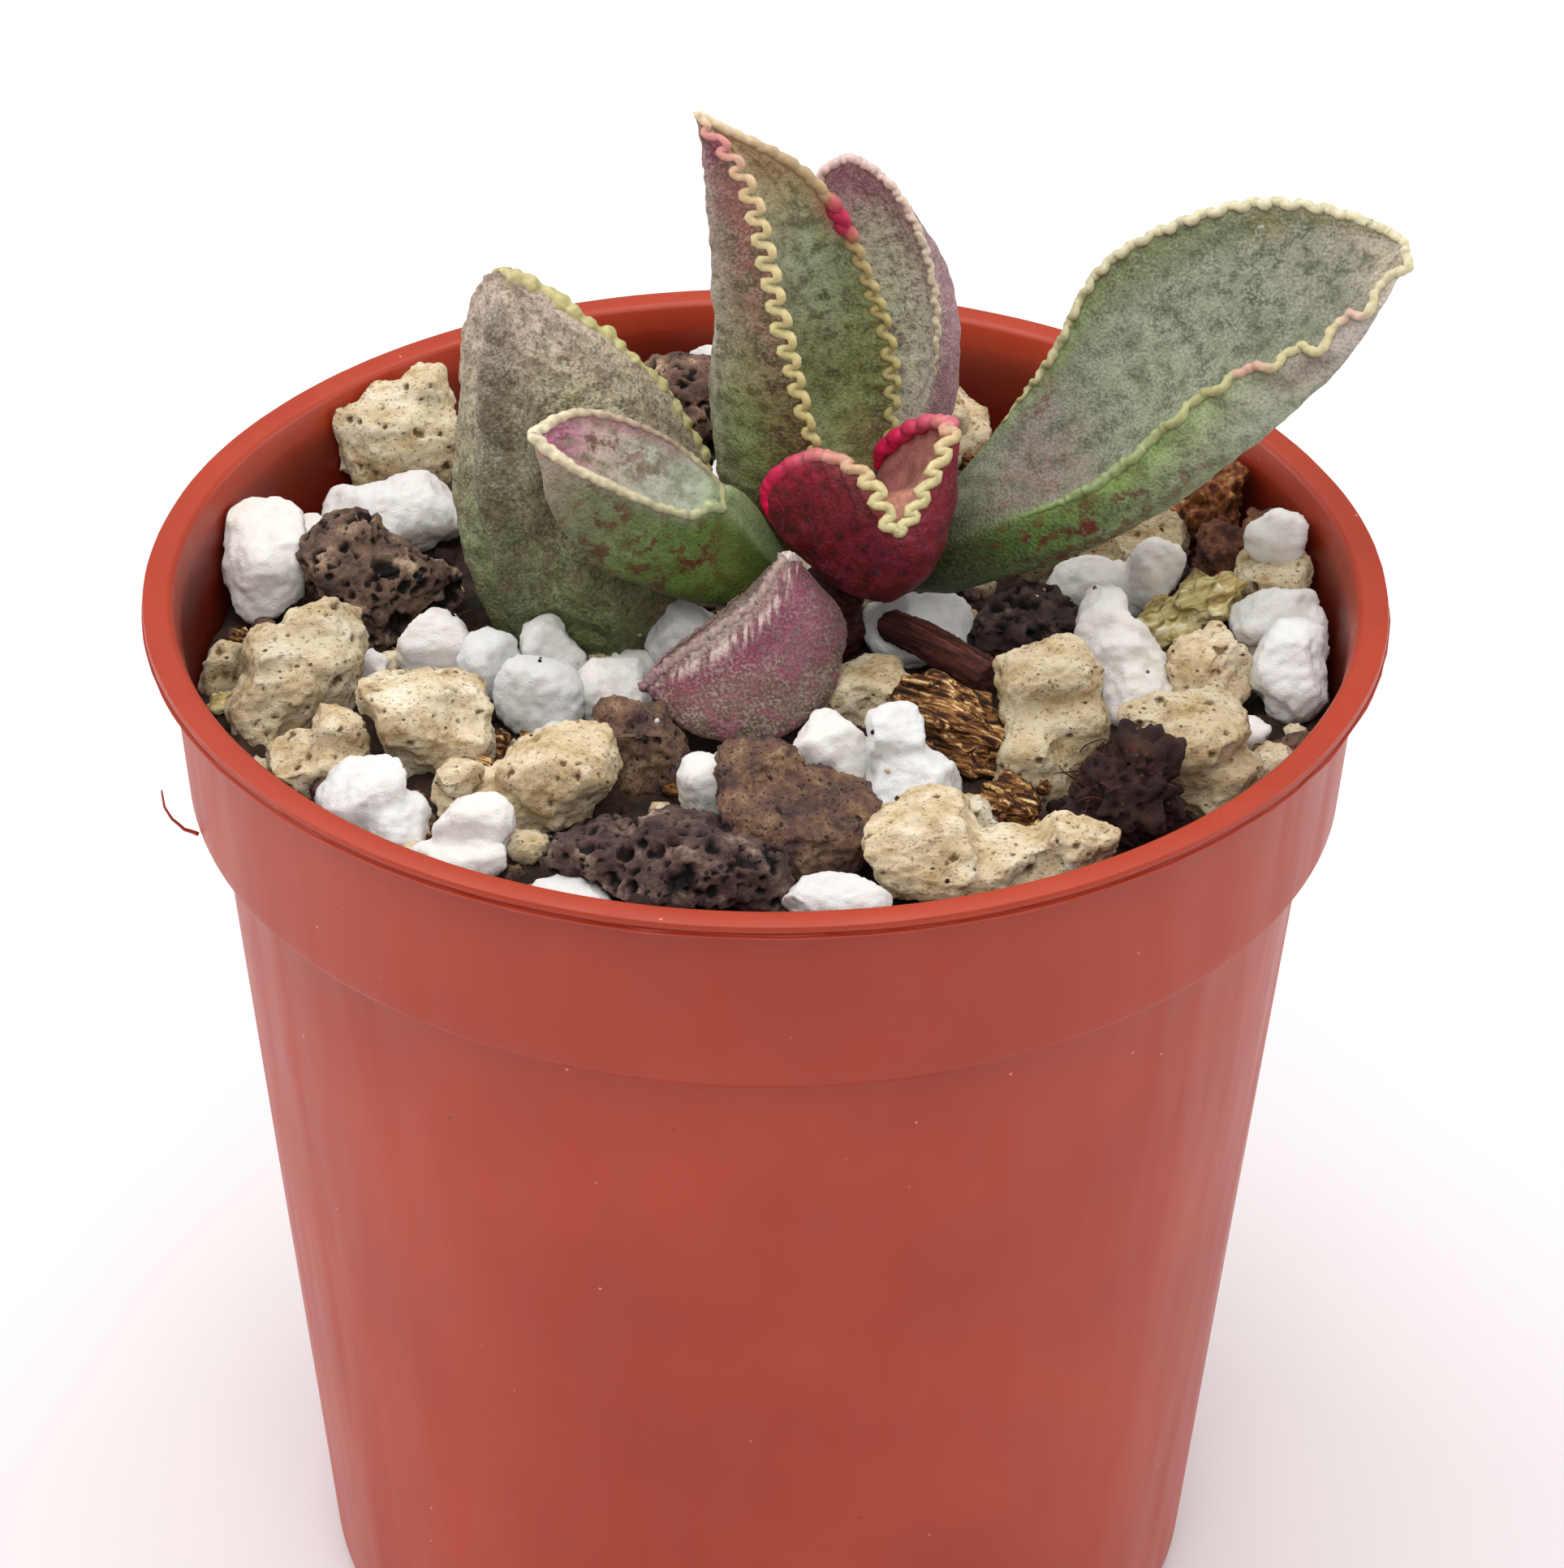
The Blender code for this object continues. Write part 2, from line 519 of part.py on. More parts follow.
class Grain:
    """A grain: an ellipsoid's centre, half sizes and turn, and its kind."""

    def __init__(self, kind, x, y, length, width, top, turn):
        self.kind = kind
        self.half = Vector((length, width, top - GRAIN_FOOT)) / 2 * GRAIN_FULLNESS
        self.centre = Vector((x, y, (top + GRAIN_FOOT) / 2))
        self.turn = Euler((0, 0, math.radians(turn))).to_matrix()
        self.planes = []

    def support(self, direction):
        """How far the ellipsoid reaches from its centre in a direction."""
        local = self.turn.transposed() @ direction
        return Vector(local[i] * self.half[i] for i in range(3)).length

    def depth(self, point):
        """0 at the centre, 1 on the ellipsoid."""
        local = self.turn.transposed() @ (point - self.centre)
        return Vector(local[i] / self.half[i] for i in range(3)).length

    def outward(self, point):
        local = self.turn.transposed() @ (point - self.centre)
        return (self.turn @ Vector(local[i] / self.half[i] ** 2 for i in range(3))).normalized()

    def inside(self, point):
        """True if no plane has cut the point off yet."""
        return all((point - place).dot(normal) < 0 for place, normal in self.planes)


def part_neighbours(grains):
    """Give each pair of grains that would touch a plane on either side of a gap."""
    for i, one in enumerate(grains):
        for other in grains[i + 1:]:
            apart = other.centre - one.centre
            distance = apart.length
            if distance > (one.half.length + other.half.length) * GRAIN_REACH:
                continue
            normal = apart.normalized()
            reach_one, reach_other = one.support(normal), other.support(normal)
            middle = one.centre + normal * distance * reach_one / (reach_one + reach_other)
            one.planes.append((middle - normal * GAP / 2, normal))
            other.planes.append((middle + normal * GAP / 2, -normal))


def clear_of(grain, points):
    """Cut a grain back from points of its surroundings, nearest first."""
    close = [p for p in points if grain.depth(p) < GRAIN_REACH]
    for _ in range(MOST_CUTS):
        close = [p for p in close if grain.inside(p)]
        if not close:
            return
        nearest = min(close, key=grain.depth)
        normal = grain.outward(nearest)
        grain.planes.append((nearest - normal * LEAF_GAP, normal))


def bound(grain):
    """Cut a grain at the soil below it and at the pot's wall."""
    grain.planes.append((Vector((0, 0, GRAIN_FOOT)), Vector((0, 0, -1))))
    wall = inner_radius(GRAIN_FOOT) - GAP
    angle = math.atan2(grain.centre.y, grain.centre.x)
    for turn in WALL_TURNS:
        towards = angle + math.radians(turn)
        normal = Vector((math.cos(towards), math.sin(towards), 0))
        if grain.centre.dot(normal) + grain.support(normal) > wall - 1:
            grain.planes.append((normal * wall, normal))


def make_grain(name, grain, seed):
    """A lump cut flat where it meets its neighbours."""
    square, lumps = GRAIN_FORM[grain.kind]
    bm = bmesh.new()
    bmesh.ops.create_icosphere(bm, subdivisions=2, radius=1.0)
    for vertex in bm.verts:
        direction = vertex.co.normalized()
        corner = Vector(math.copysign(abs(c) ** square, c) for c in direction)
        swell = 1 + lumps * noise.noise(direction * LUMP_SCALE + Vector((3 * seed, 2 * seed, seed)) * math.e)
        local = Vector(corner[i] * grain.half[i] * swell for i in range(3))
        vertex.co = grain.centre + grain.turn @ local
    for place, normal in grain.planes:
        geometry = bm.verts[:] + bm.edges[:] + bm.faces[:]
        bmesh.ops.bisect_plane(
            bm, geom=geometry, plane_co=place, plane_no=normal, clear_outer=True)
        rim = [edge for edge in bm.edges if edge.is_boundary]
        if rim:
            bmesh.ops.holes_fill(bm, edges=rim, sides=0)
    bmesh.ops.dissolve_degenerate(bm, edges=bm.edges, dist=SMALLEST_EDGE)
    bmesh.ops.triangulate(bm, faces=bm.faces)
    bmesh.ops.recalc_face_normals(bm, faces=bm.faces)
    from_bmesh(name, bm, grain.kind)


def fill_grains(grains):
    """Grains for the free places, the furthest from their neighbours first."""
    draw = random.Random(FILL_SEED)
    leaf_foot = Vector(LEAVES["leaf_left"]["base"]).xy
    added = []
    for count in range(FILL_COUNT):
        best, best_room = None, 0.0
        for _ in range(FILL_TRIES):
            radius = FILL_REACH * math.sqrt(draw.random())
            angle = draw.random() * math.tau
            place = Vector((radius * math.cos(angle), radius * math.sin(angle), grains[0].centre.z))
            room = min((place.xy - g.centre.xy).length - (g.half.x + g.half.y) / 2
                       for g in grains + added)
            room = min(room, (place.xy - Vector(STEM_CENTRE)).length - 2 * STEM_RADIUS)
            room = min(room, (place.xy - leaf_foot).length - LEAF_FOOT_CLEARANCE)
            if room > best_room:
                best, best_room = place, room
        kind = FILL_KINDS[count % len(FILL_KINDS)]
        size = draw.uniform(*FILL_SIZE)
        turn = draw.uniform(0, 180)
        top = draw.uniform(*FILL_TOPS)
        added.append(Grain(kind, best.x, best.y, size, size * FILL_WIDTH, top, turn))
    return added


def world_points(names):
    """Points of finished pieces, in millimetres."""
    points = []
    for name in names:
        obj = bpy.data.objects[name]
        points += [obj.matrix_world @ v.co / MM for v in obj.data.vertices]
    return points


def make_grains():
    grains = [Grain(*row) for row in GRAINS]
    grains += fill_grains(grains)
    part_neighbours(grains)
    surroundings = world_points([*LEAVES, "twig"])
    stem = Vector(STEM_CENTRE)
    for z in range(int(GRAIN_FOOT), int(STEM_TOP) + 1):
        for i in range(12):
            angle = math.tau * i / 12
            rim = Vector((math.cos(angle), math.sin(angle))) * (STEM_RADIUS + SCAR_DEPTH)
            surroundings.append(Vector((*(stem + rim), float(z))))
    counts = {}
    for seed, grain in enumerate(grains, start=1):
        bound(grain)
        clear_of(grain, surroundings)
        counts[grain.kind] = counts.get(grain.kind, 0) + 1
        make_grain(f"{grain.kind}_{counts[grain.kind]}", grain, seed)


clear_scene()
plant = make_collection("potted_adromischus")
cutters = make_collection("cutters")
materials = make_materials()

make_pot()
make_soil([
    (*STEM_CENTRE, STEM_FOOT - GAP, STEM_HOLE_RADIUS, STEM_HOLE_RADIUS),
    (*LEAVES["leaf_left"]["base"][:2], LEAVES["leaf_left"]["base"][2] - GAP, *LEAF_HOLE_RADII),
])
make_stem()
for leaf_name, leaf_shape in LEAVES.items():
    make_leaf(leaf_name, leaf_shape)
make_twig()
make_grains()
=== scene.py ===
"""Potted adromischus: the finish of its pot, grit and leaves, for a studio picture.

Pieces are modelled in millimetres and brought to metres when they are finished.
"""

import math
import random

import bmesh
import bpy
from mathutils import Euler, Matrix, Vector, bvhtree, kdtree, noise


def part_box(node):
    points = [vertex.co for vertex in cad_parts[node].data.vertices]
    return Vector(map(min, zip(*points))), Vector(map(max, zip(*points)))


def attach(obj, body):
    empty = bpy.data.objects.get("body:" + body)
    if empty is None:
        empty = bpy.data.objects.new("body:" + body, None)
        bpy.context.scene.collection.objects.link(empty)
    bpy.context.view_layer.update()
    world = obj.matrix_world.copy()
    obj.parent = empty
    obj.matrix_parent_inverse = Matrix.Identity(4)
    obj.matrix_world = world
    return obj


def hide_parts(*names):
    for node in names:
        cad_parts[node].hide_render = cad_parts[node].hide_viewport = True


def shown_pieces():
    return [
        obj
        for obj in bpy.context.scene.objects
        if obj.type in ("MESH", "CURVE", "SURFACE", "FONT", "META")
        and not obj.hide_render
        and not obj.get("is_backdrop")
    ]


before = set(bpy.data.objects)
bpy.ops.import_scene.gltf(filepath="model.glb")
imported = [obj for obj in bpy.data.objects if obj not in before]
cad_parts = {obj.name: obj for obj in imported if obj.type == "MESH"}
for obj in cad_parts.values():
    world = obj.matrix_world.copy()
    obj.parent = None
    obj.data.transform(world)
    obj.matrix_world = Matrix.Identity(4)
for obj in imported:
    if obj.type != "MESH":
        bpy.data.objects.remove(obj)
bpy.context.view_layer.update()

MM = 0.001
SEED = 7

# Camera of the photograph: where it stands and how it is turned, in radians
CAMERA_PLACE = Vector((0.8, -236.7, 192.4))
CAMERA_PITCH = 0.568
CAMERA_ROLL = 0.011
CAMERA_LENS = 142.8
SENSOR_WIDTH = 36.0

# Studio, in metres: softboxes (name, place, width and height, radiated power)
FLOOR_WIDTH = 6.0
LIT = (0.0, 0.0, 0.04)         # the point that they face
SOFTBOXES = [
    ("overhead", (-0.05, 0.04, 0.6), (0.8, 0.7), 4.1),
    ("front_fill", (0.03, -0.5, 0.56), (0.5, 0.35), 1.7),
    ("left_panel", (-0.55, 0.1, 0.2), (0.5, 0.4), 1.5),
    ("right_panel", (0.55, 0.12, 0.2), (0.5, 0.4), 1.3),
]

# Pot, as it is built in the frame
RIM_RADIUS = 27.5
POT_HEIGHT = 52.0
WALL = 0.65
LIP_WIDTH = 1.35
LIP_FACE = 0.42                # height of the lip's outer face above the parting line
LIP_BOTTOM = 51.4
COLLAR_TOP_RADIUS = 26.45
COLLAR_FOOT_RADIUS = 25.75
STEP = 42.6                    # height of the step under the collar
STEP_RUN = 1.4
BODY_TOP_RADIUS = 24.5
BODY_TAPER = 0.1
FOOT_WALL = 20.36
FOOT_RING_INNER = 16.76
FLOOR = 0.9
FLOOR_RAISE = 1.3
POT_STEPS = 184
POT_CUTS = 12
LONG_EDGE = 3.0                # edges of a section over this length are cut up
EDGE_BREAK = 0.09              # rounding of the moulding's edges
PARTING_GROOVE = 0.16
FLASH_TEETH = 0.08             # how far the flash stands out at the parting line
LIP_WAVE = 0.02
SINK = 0.035                   # depth and size of the wall's faint sinks
SINK_SIZE = 6.0
INNER_SHADE = 0.75                   # how far painted shade darkens the inner wall
INNER_SHADE_FADE = 1.5
BURR = ((-24.9, -6.9, 42.8), (-25.5, -7.1, 43.1), (-26.0, -7.1, 43.7), (-26.3, -7.1, 44.4),
        (-26.4, -7.1, 45.2))
BURR_RADIUS = 0.08
BURR_STEPS = 16
DRAIN_RADIUS = 1.8
DRAIN_CIRCLE = 11.0
DRAIN_COUNT = 6                # round the one in the middle
DRILL = 4.0                    # length of the drill that cuts them
SOIL_TOP = 46.0
GRAVEL_RADIUS = 25.2

STEM_CENTRE = Vector((3.0, 2.8, 0.0))
STEM_RADIUS = 1.35

# Leaves: the two margins and the line of the back, those of the frame.
# turn runs round a leaf's section: 0 is the near margin, 1 and -1 the far one, above 0
# the back and below 0 the upper face.
LEAVES = {
    "leaf_tall": dict(
        base=(1.7, 3.9, 51.1), stalk=0.75, tip=(-3.2, 4.2, 72.8), pointed=True,
        near=[(2.5, 2.5, 54.7), (1.5, 2.2, 59.4), (0.4, 2.2, 64.1), (-1.0, 3.2, 69.7)],
        far=[(5.1, 6.0, 54.4), (5.6, 7.0, 58.3), (4.7, 7.0, 62.6), (2.0, 5.8, 68.8)],
        back=[(-1.5, 4.6, 53.8), (-2.1, 5.0, 58.0), (-1.9, 5.0, 63.4), (-2.3, 4.6, 68.8)],
        hollow=(-0.9, 0.45, 0.7, 0.7, 0.55, 0.2)),
    "leaf_back": dict(
        base=(4.2, 5.1, 51.0), stalk=0.6, tip=(3.6, 9.6, 68.0),
        near=[(2.4, 8.4, 56.0), (1.4, 9.0, 60.0), (1.3, 9.2, 64.4), (2.1, 9.4, 67.3)],
        far=[(6.9, 7.2, 56.2), (7.6, 7.8, 60.0), (7.1, 8.6, 63.7), (5.6, 9.2, 66.7)],
        back=[(6.5, 9.2, 53.0), (7.1, 10.4, 56.9), (6.4, 10.8, 61.7), (4.7, 10.4, 65.4)],
        hollow=(-0.9, 0.3, 0.45, 0.45, 0.4, 0.2)),
    "leaf_right": dict(
        base=(5.0, 3.3, 50.5), stalk=0.7, tip=(27.6, 3.6, 67.1),
        near=[(9.3, 1.8, 53.5), (14.5, 0.6, 56.6), (19.5, 0.8, 61.4), (24.5, 1.6, 63.7)],
        far=[(8.4, 5.2, 54.3), (12.3, 6.4, 59.6), (15.2, 8.0, 64.2), (21.8, 7.4, 67.3)],
        back=[(9.2, 3.0, 50.2), (15.4, 2.2, 54.2), (21.0, 2.2, 59.2), (24.8, 2.6, 63.8)],
        hollow=(-0.9, -0.2, 0.25, 0.35, 0.25, 0.05)),
    "leaf_left": dict(
        base=(-7.4, 3.6, 44.6), stalk=1.5, tip=(-11.7, 5.0, 64.6),
        near=[(-2.9, 3.2, 49.2), (-2.4, 3.4, 54.8), (-4.6, 3.8, 59.6), (-8.2, 4.4, 62.7)],
        far=[(-12.6, 6.6, 48.0), (-13.6, 8.0, 52.8), (-13.4, 7.8, 58.0), (-12.8, 6.8, 62.2)],
        back=[(-9.2, 1.4, 48.0), (-10.0, 0.8, 54.0), (-10.6, 1.8, 59.7), (-11.5, 3.4, 62.9)],
        hollow=(-0.7, 0.1, 0.3, 0.35, 0.3, 0.1)),
    "leaf_club": dict(
        base=(1.2, 2.1, 50.9), stalk=0.6, tip=(-10.1, -1.2, 59.9),
        near=[(-1.9, -1.0, 56.0), (-3.5, -2.0, 56.3), (-6.5, -2.4, 57.8), (-8.8, -2.2, 59.0)],
        far=[(-2.0, 1.0, 56.2), (-3.8, 1.0, 58.2), (-6.2, 0.6, 59.8), (-8.5, 0.0, 60.5)],
        back=[(-1.6, -0.2, 50.8), (-5.1, -1.4, 52.5), (-7.6, -1.8, 54.5), (-9.4, -1.6, 56.8)],
        hollow=(-0.9, -0.1, 0.06, 0.08, 0.05, 0.0)),
    "leaf_young": dict(
        base=(3.4, 2.5, 51.2), stalk=0.5, tip=(5.8, -1.6, 55.5),
        near=[(0.6, 1.2, 53.6), (-0.2, 1.5, 55.8), (1.9, 0.7, 57.9), (4.2, -0.4, 57.4)],
        far=[(4.6, 4.2, 53.2), (5.2, 4.6, 55.9), (7.1, 3.6, 58.1), (8.2, 1.4, 58.8)],
        back=[(5.0, 1.0, 50.9), (5.7, 0.3, 50.9), (6.6, -0.5, 52.1), (6.8, -1.4, 54.0)],
        hollow=(-0.9, 0.2, 0.4, 0.4, 0.35, 0.1)),
    "leaf_half": dict(
        base=(2.6, 0.9, 50.4), stalk=0.55, tip=(-5.3, -5.4, 49.7),
        near=[(1.1, -1.0, 53.8), (-0.3, -2.6, 52.5), (-2.2, -4.0, 51.6), (-4.1, -5.2, 50.7)],
        far=[(0.6, 0.2, 52.8), (-1.0, -1.0, 52.0), (-2.9, -2.4, 50.9), (-4.6, -4.2, 50.4)],
        back=[(3.5, -1.8, 50.7), (2.9, -4.4, 48.7), (0.3, -6.4, 47.7), (-2.9, -7.0, 48.3)],
        hollow=(-0.9, 0.0, 0.1, 0.1, 0.1, 0.0)),
}

# Margins: pitch of the waves, how far they swing (from the stalk to the tip), how far
# they fold back along the rim, the cord's radius, the colours along it from the stalk to
# the tip and where it starts; then patches of another colour and thickness (side, t,
# reach, colour, swell), the beads (spacing, depth), the share of its radius by which it
# sits inside the rim, how much its waves lean into the blade, and its fuzz (size, height).
# A closed one also crosses the upper face at its start, and one with knobs is a row of
# them, so far apart.
MARGINS = {
    "leaf_tall": dict(
        near=dict(pitch=1.05, swing=(0.05, 0.1, 0.24, 0.36, 0.32, 0.22), fold=0.06, start=0.2,
                  radius=(0.16, 0.19, 0.21, 0.21, 0.2, 0.16),
                  colours=("#8a7c48", "#a89a5c", "#c2b478", "#cfc085", "#d2c48c", "#cfbf8c", "#cda888",
                           "#dcc8a6")),
        far=dict(pitch=1.0, swing=(0.06, 0.18, 0.26, 0.26, 0.05, 0.03), fold=0.03, start=0.2,
                 radius=(0.13, 0.17, 0.19, 0.2, 0.26, 0.2),
                 colours=("#746a40", "#968c54", "#a89e66", "#b8ac74", "#b8a970", "#b09a6c", "#b39a74",
                          "#dcc8a6")),
        patches=[("far", 0.735, 0.035, "#b8204e", 1.5), ("near", 0.92, 0.05, "#d08a86", 1.0)],
        beads=(0.6, 0.06), inset=0.5, lean=0.1, fuzz=(0.3, 0.04)),
    "leaf_back": dict(
        near=dict(pitch=1.3, swing=(0.03, 0.05, 0.06, 0.05, 0.04), fold=0.02, start=0.5,
                  radius=(0.1, 0.12, 0.15, 0.2, 0.22),
                  colours=("#a08f80", "#ab9a8a", "#c0a69c", "#d3b6b2")),
        far=dict(pitch=1.0, swing=(0.03, 0.05, 0.07, 0.06, 0.04), fold=0.02, start=0.3,
                 radius=(0.07, 0.12, 0.15, 0.18, 0.22),
                 colours=("#a39a80", "#c0b498", "#c9b6a2", "#d3b6b2")),
        patches=[], beads=(0.45, 0.12), inset=0.7, lean=0.5, fuzz=(0.22, 0.08)),
    "leaf_right": dict(
        near=dict(pitch=2.4, swing=(0.0, 0.0, 0.06, 0.3, 0.4, 0.22), fold=0.03, start=0.28,
                  radius=(0.1, 0.16, 0.25, 0.22, 0.22, 0.21),
                  colours=("#54702e", "#66843e", "#8a9c68", "#aaa676", "#c0b48c", "#ccc4a4")),
        far=dict(pitch=1.15, swing=(0.03, 0.08, 0.14, 0.16, 0.14, 0.1), fold=0.03, start=0.3,
                 radius=(0.06, 0.12, 0.2, 0.22, 0.22, 0.21),
                 colours=("#6f8248", "#8a9160", "#b0aa80", "#c2b998", "#cac2a2", "#cdc4a0")),
        patches=[("near", 0.66, 0.03, "#c09a88", 1.0), ("near", 0.84, 0.02, "#c2a294", 1.0)],
        beads=(0.5, 0.1), inset=0.6, lean=0.6, fuzz=(0.25, 0.06)),
    "leaf_left": dict(
        near=dict(pitch=3.4, swing=(0.05, 0.1, 0.14, 0.14, 0.1), fold=0.0, start=0.34,
                  radius=(0.2, 0.4, 0.48, 0.5, 0.48),
                  colours=("#6a6444", "#938c64", "#b2ac74", "#b9b27a", "#c0b280")),
        far=dict(pitch=3.0, swing=(0.04, 0.06, 0.06, 0.06, 0.06), fold=0.0, start=0.9,
                 radius=(0.1, 0.1, 0.1, 0.16, 0.34),
                 colours=("#6d6544", "#7b6f58", "#847862", "#8c7f68", "#a8975f")),
        patches=[], beads=(0.85, 0.0), inset=0.6, knobs=0.85, fuzz=(0.3, 0.07)),
    "leaf_club": dict(
        near=dict(pitch=1.9, swing=(0.05, 0.08, 0.08, 0.05, 0.03), fold=0.02, start=0.2,
                  radius=(0.3, 0.24, 0.2, 0.24, 0.32),
                  colours=("#93a468", "#a5ac80", "#b9b390", "#cdbfa0", "#dccfb2")),
        far=dict(pitch=1.7, swing=(0.04, 0.06, 0.06, 0.05, 0.03), fold=0.02, start=0.2,
                 radius=(0.3, 0.17, 0.13, 0.19, 0.32),
                 colours=("#93a468", "#a09a74", "#a8907e", "#c0b196", "#dccfb2")),
        patches=[], beads=(0.62, 0.06), inset=0.7, lean=0.5,
        fuzz=(0.3, 0.08), closed=True),
    "leaf_young": dict(
        near=dict(pitch=1.02, swing=(0.0, 0.0, 0.0, 0.1, 0.32, 0.3), fold=0.03, start=0.26,
                  radius=(0.2, 0.34, 0.4, 0.32, 0.24, 0.24),
                  colours=("#a00030", "#d40044", "#dc0048", "#cc2c5a", "#cc8c80", "#ccbc8a", "#d0c692")),
        far=dict(pitch=1.02, swing=(0.0, 0.0, 0.0, 0.14, 0.32, 0.3), fold=0.03, start=0.34,
                 radius=(0.2, 0.34, 0.4, 0.36, 0.26, 0.24),
                 colours=("#a00030", "#d40044", "#dc0048", "#d01c54", "#cc5c70", "#ccbc8a", "#d0c692")),
        patches=[("far", 0.74, 0.03, "#cc6a7c", 1.1)], beads=(0.5, 0.0), inset=0.85, lean=0.75,
        fuzz=(0.3, 0.07)),
    "leaf_half": dict(
        near=dict(pitch=1.1, swing=(0.0, 0.03, 0.03, 0.03, 0.0), fold=0.0, start=0.14,
                  radius=(0.2, 0.26, 0.28, 0.27, 0.24),
                  colours=("#907870", "#a68e86", "#a08882", "#947a76", "#846468")),
        far=dict(pitch=1.1, swing=(0.02, 0.02, 0.02, 0.02, 0.02), fold=0.0, start=0.4,
                 radius=(0.06, 0.08, 0.1, 0.1, 0.16),
                 colours=("#7a6256", "#7a6256", "#7a6256", "#7f6460", "#86646a")),
        patches=[("near", 0.2, 0.04, "#ddd0ca", 1.5)], beads=(0.3, 0.1), inset=0.75, fuzz=(0.16, 0.16)),
}
MARGIN_STEP = 0.085
KNOB_GRID = 0.1                # mesh width of a row of knobs
CLOSING_STEPS = 12             # points of a closed margin across the upper face
